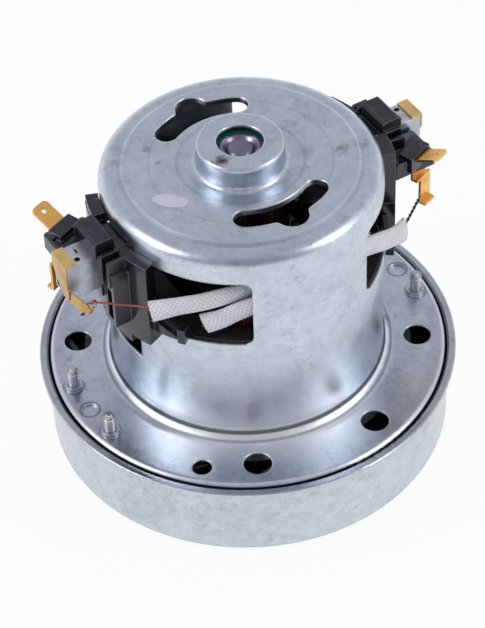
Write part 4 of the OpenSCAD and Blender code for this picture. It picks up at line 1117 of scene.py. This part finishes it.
spring = Bundle()
spring_path = helix(SPRING_ENDS, SPRING_R, turns=9, phase=0.0, samples=28)
spring.wire(spring_path, SPRING_WIRE_R, sides=10)
pigtail = Bundle()
for phase in angles(LEAD_STRANDS):
    lead_path = helix(LEAD_ENDS, LEAD_R, turns=6, phase=phase, samples=16)
    pigtail.wire(lead_path, LEAD_WIRE_R, sides=6)
for side, sign, coils, strands in (
        ("right", 1, spring, pigtail),
        ("left", -1, spring.turned(), pigtail.turned())):
    coil = make(f"coiled_spring_{side}", coils, spring_steel, "motor_frame")
    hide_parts(f"brush_spring_{side}")
    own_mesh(coil)
    braid = make(f"stranded_lead_{side}", strands, copper, "motor_frame")
    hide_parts(f"brush_lead_{side}")
    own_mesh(braid)


# Threads on the tips of the fan screws

THREAD_TURNS = 8.2
THREAD_PITCH = 0.78
THREAD_LOW = 29.95
THREAD_OUT = 1.72
THREAD_WIRE_R = 0.2
THREAD_STEPS = 24


def run_out(t):
    """Share of the thread's depth along its length, less at both ends."""
    return min(1, 8 * t + 0.2, 6 * (1 - t) + 0.15)


def screw_thread(bundle, angle):
    """Thread on the tip of the screw at an angle."""
    x, y, z = around(SCREW_R, angle, THREAD_LOW)
    count = int(THREAD_TURNS * THREAD_STEPS)
    path = []
    for i in range(count + 1):
        b = TURN * THREAD_TURNS * i / count
        path.append(Vector((x + THREAD_OUT * math.cos(b), y + THREAD_OUT * math.sin(b),
                            z + THREAD_PITCH * THREAD_TURNS * i / count)))
    bundle.wire(path, THREAD_WIRE_R, sides=6, taper=run_out)


threads = Bundle()
for angle in SCREW_ANGLES:
    screw_thread(threads, angle)
make("screw_threads", threads, bright, "motor_frame")


# Blank oval label on the crown

LABEL_R = 26.5
LABEL_ANGLE = -171.4
LABEL_AT = Vector(around(LABEL_R, LABEL_ANGLE, CROWN_Z))
LABEL_LONG = 5.4
LABEL_SHORT = 2.75
LABEL_ROWS = ((1.0, 0.02), (1.0, 0.11), (0.985, 0.14), (0.8, 0.15),
              (0.5, 0.16), (0.2, 0.16), (0.02, 0.16))
long_way = Vector((0.71, -0.70, 0)).normalized()
short_way = Vector((-long_way[1], long_way[0], 0))
rows = []
for size, rise in LABEL_ROWS:
    row = []
    for a in angles(64):
        row.append(LABEL_AT + LABEL_LONG * size * math.cos(a) * long_way
                   + LABEL_SHORT * size * math.sin(a) * short_way
                   + (rise + 0.015 * size * math.sin(3 * a + 1)) * UP)
    rows.append(row)
label = Bundle()
label.grid(rows)
make("blank_label", label, paper, "motor_frame")


# Camera at the photograph's viewing angle

PHOTO_HEIGHT = 628
FOCAL_PIXELS = 2600
SENSOR = 24
HEADING = math.radians(30)
LIFT = math.radians(44.657)
ROLL = math.radians(2.283)
CAMERA_AT = (-0.287554, -0.495590, 0.605236)

ahead = Vector((math.sin(HEADING), math.cos(HEADING), 0))
level_right = Vector((math.cos(HEADING), -math.sin(HEADING), 0))
level_up = math.sin(LIFT) * ahead + math.cos(LIFT) * UP
back = math.sin(LIFT) * UP - math.cos(LIFT) * ahead
across = math.cos(ROLL) * level_right - math.sin(ROLL) * level_up
upward = math.sin(ROLL) * level_right + math.cos(ROLL) * level_up
lens = bpy.data.cameras.new("camera")
lens.sensor_fit = "VERTICAL"
lens.sensor_height = SENSOR
lens.lens = FOCAL_PIXELS * SENSOR / PHOTO_HEIGHT
camera = new_object("camera", lens)
stance = [(across[i], upward[i], back[i], CAMERA_AT[i]) for i in range(3)]
camera.matrix_world = Matrix(stance + [(0, 0, 0, 1)])
bpy.context.scene.camera = camera


# Pale floor, which the camera and reflections see as nearly white

FLOOR_REACH = 4
FLOOR_Z = -0.0003
FLOOR_GLOW = 0.93
CORNERS = ((-1, -1), (1, -1), (1, 1), (-1, 1))

ground = Finish("pale_floor")
ground.set("Base Color", ground.mix(ground.noise(160), (0.93, 0.935, 0.94), (0.95, 0.95, 0.955)))
ground.set("Roughness", 0.75)
ground.set("Specular IOR Level", 0.15)
rays = ground.node("LightPath").outputs
seen = ground.plus(rays["Is Camera Ray"], rays["Is Glossy Ray"])
seen = ground.math("MINIMUM", ground.plus(seen, rays["Is Transmission Ray"]), 1.0)
white = ground.node("Emission")
paling = ground.node("MixShader")
ground.link(ground.times(seen, FLOOR_GLOW), paling.inputs[0])
ground.link(ground.shader.outputs[0], paling.inputs[1])
ground.link(white.outputs[0], paling.inputs[2])
ground.link(paling.outputs[0], ground.surface)
floor_mesh = bpy.data.meshes.new("floor")
floor_points = [(x * FLOOR_REACH, y * FLOOR_REACH, FLOOR_Z) for x, y in CORNERS]
floor_mesh.from_pydata(floor_points, [], [(0, 1, 2, 3)])
floor_mesh.materials.append(ground.material)
floor = new_object("floor", floor_mesh)


# Studio surroundings: pale low down, dimmer overhead and on the photographer's side

TO_PHOTOGRAPHER = (-0.5, -0.866, 0.0)
OVERHEAD = (0.53, 0.53, 0.58, 1)
DARK_SIDE = (0.1, 0.12, 0.18, 1)

world = bpy.data.worlds.new("studio")
world.use_nodes = True
tree = world.node_tree
tree.nodes.clear()


def world_node(kind):
    return tree.nodes.new("ShaderNode" + kind)


def smooth_rise(value, low, high, top):
    """Rises smoothly from 0 at low to top at high."""
    node = world_node("MapRange")
    node.interpolation_type = "SMOOTHSTEP"
    node.inputs["From Min"].default_value = low
    node.inputs["From Max"].default_value = high
    node.inputs["To Max"].default_value = top
    tree.links.new(value, node.inputs["Value"])
    return node.outputs["Result"]


direction = world_node("TexCoord").outputs["Generated"]
parts = world_node("SeparateXYZ")
tree.links.new(direction, parts.inputs[0])
climb = parts.outputs[2]
ramp = world_node("ValToRGB")
tree.links.new(climb, ramp.inputs[0])
stops = ramp.color_ramp.elements
stops[0].position = 0.0
stops[0].color = (1, 1, 1, 1)
stops[1].position = 1.0
stops[1].color = OVERHEAD
for position, tone in ((0.1, (0.94, 0.95, 0.97)), (0.35, (0.62, 0.62, 0.67))):
    stop = stops.new(position)
    stop.color = (*tone, 1)
facing = world_node("VectorMath")
facing.operation = "DOT_PRODUCT"
facing.inputs[1].default_value = TO_PHOTOGRAPHER
tree.links.new(direction, facing.inputs[0])
dim = world_node("Math")
dim.operation = "MULTIPLY"
tree.links.new(smooth_rise(facing.outputs["Value"], 0.1, 0.7, 1.0), dim.inputs[0])
tree.links.new(smooth_rise(climb, 0.1, 0.4, 0.55), dim.inputs[1])
shaded = world_node("Mix")
shaded.data_type = "RGBA"
shaded.inputs[MIX_SECOND].default_value = DARK_SIDE
tree.links.new(dim.outputs[0], shaded.inputs[MIX_SHARE])
tree.links.new(ramp.outputs[0], shaded.inputs[MIX_FIRST])
backdrop = world_node("Background")
tree.links.new(shaded.outputs[MIX_RESULT], backdrop.inputs["Color"])
tree.links.new(backdrop.outputs[0], world_node("OutputWorld").inputs["Surface"])
bpy.context.scene.world = world


# Soft lamps

LAMP_AIM = Vector((0, 0, 0.06))


def softbox(name, place, wide, tall, power):
    """Rectangular lamp, aimed at the motor."""
    lamp = bpy.data.lights.new(name, "AREA")
    lamp.shape = "RECTANGLE"
    lamp.size = wide
    lamp.size_y = tall
    lamp.energy = power
    obj = new_object(name, lamp)
    obj.location = place
    obj.rotation_euler = (LAMP_AIM - Vector(place)).to_track_quat("-Z", "Y").to_euler()


softbox("key", (-0.86, 0.21, 0.75), wide=0.5, tall=0.5, power=3.6)
softbox("fill", (0.61, -0.64, 0.7), wide=0.4, tall=0.6, power=2.6)

bpy.context.scene.view_settings.view_transform = "Standard"
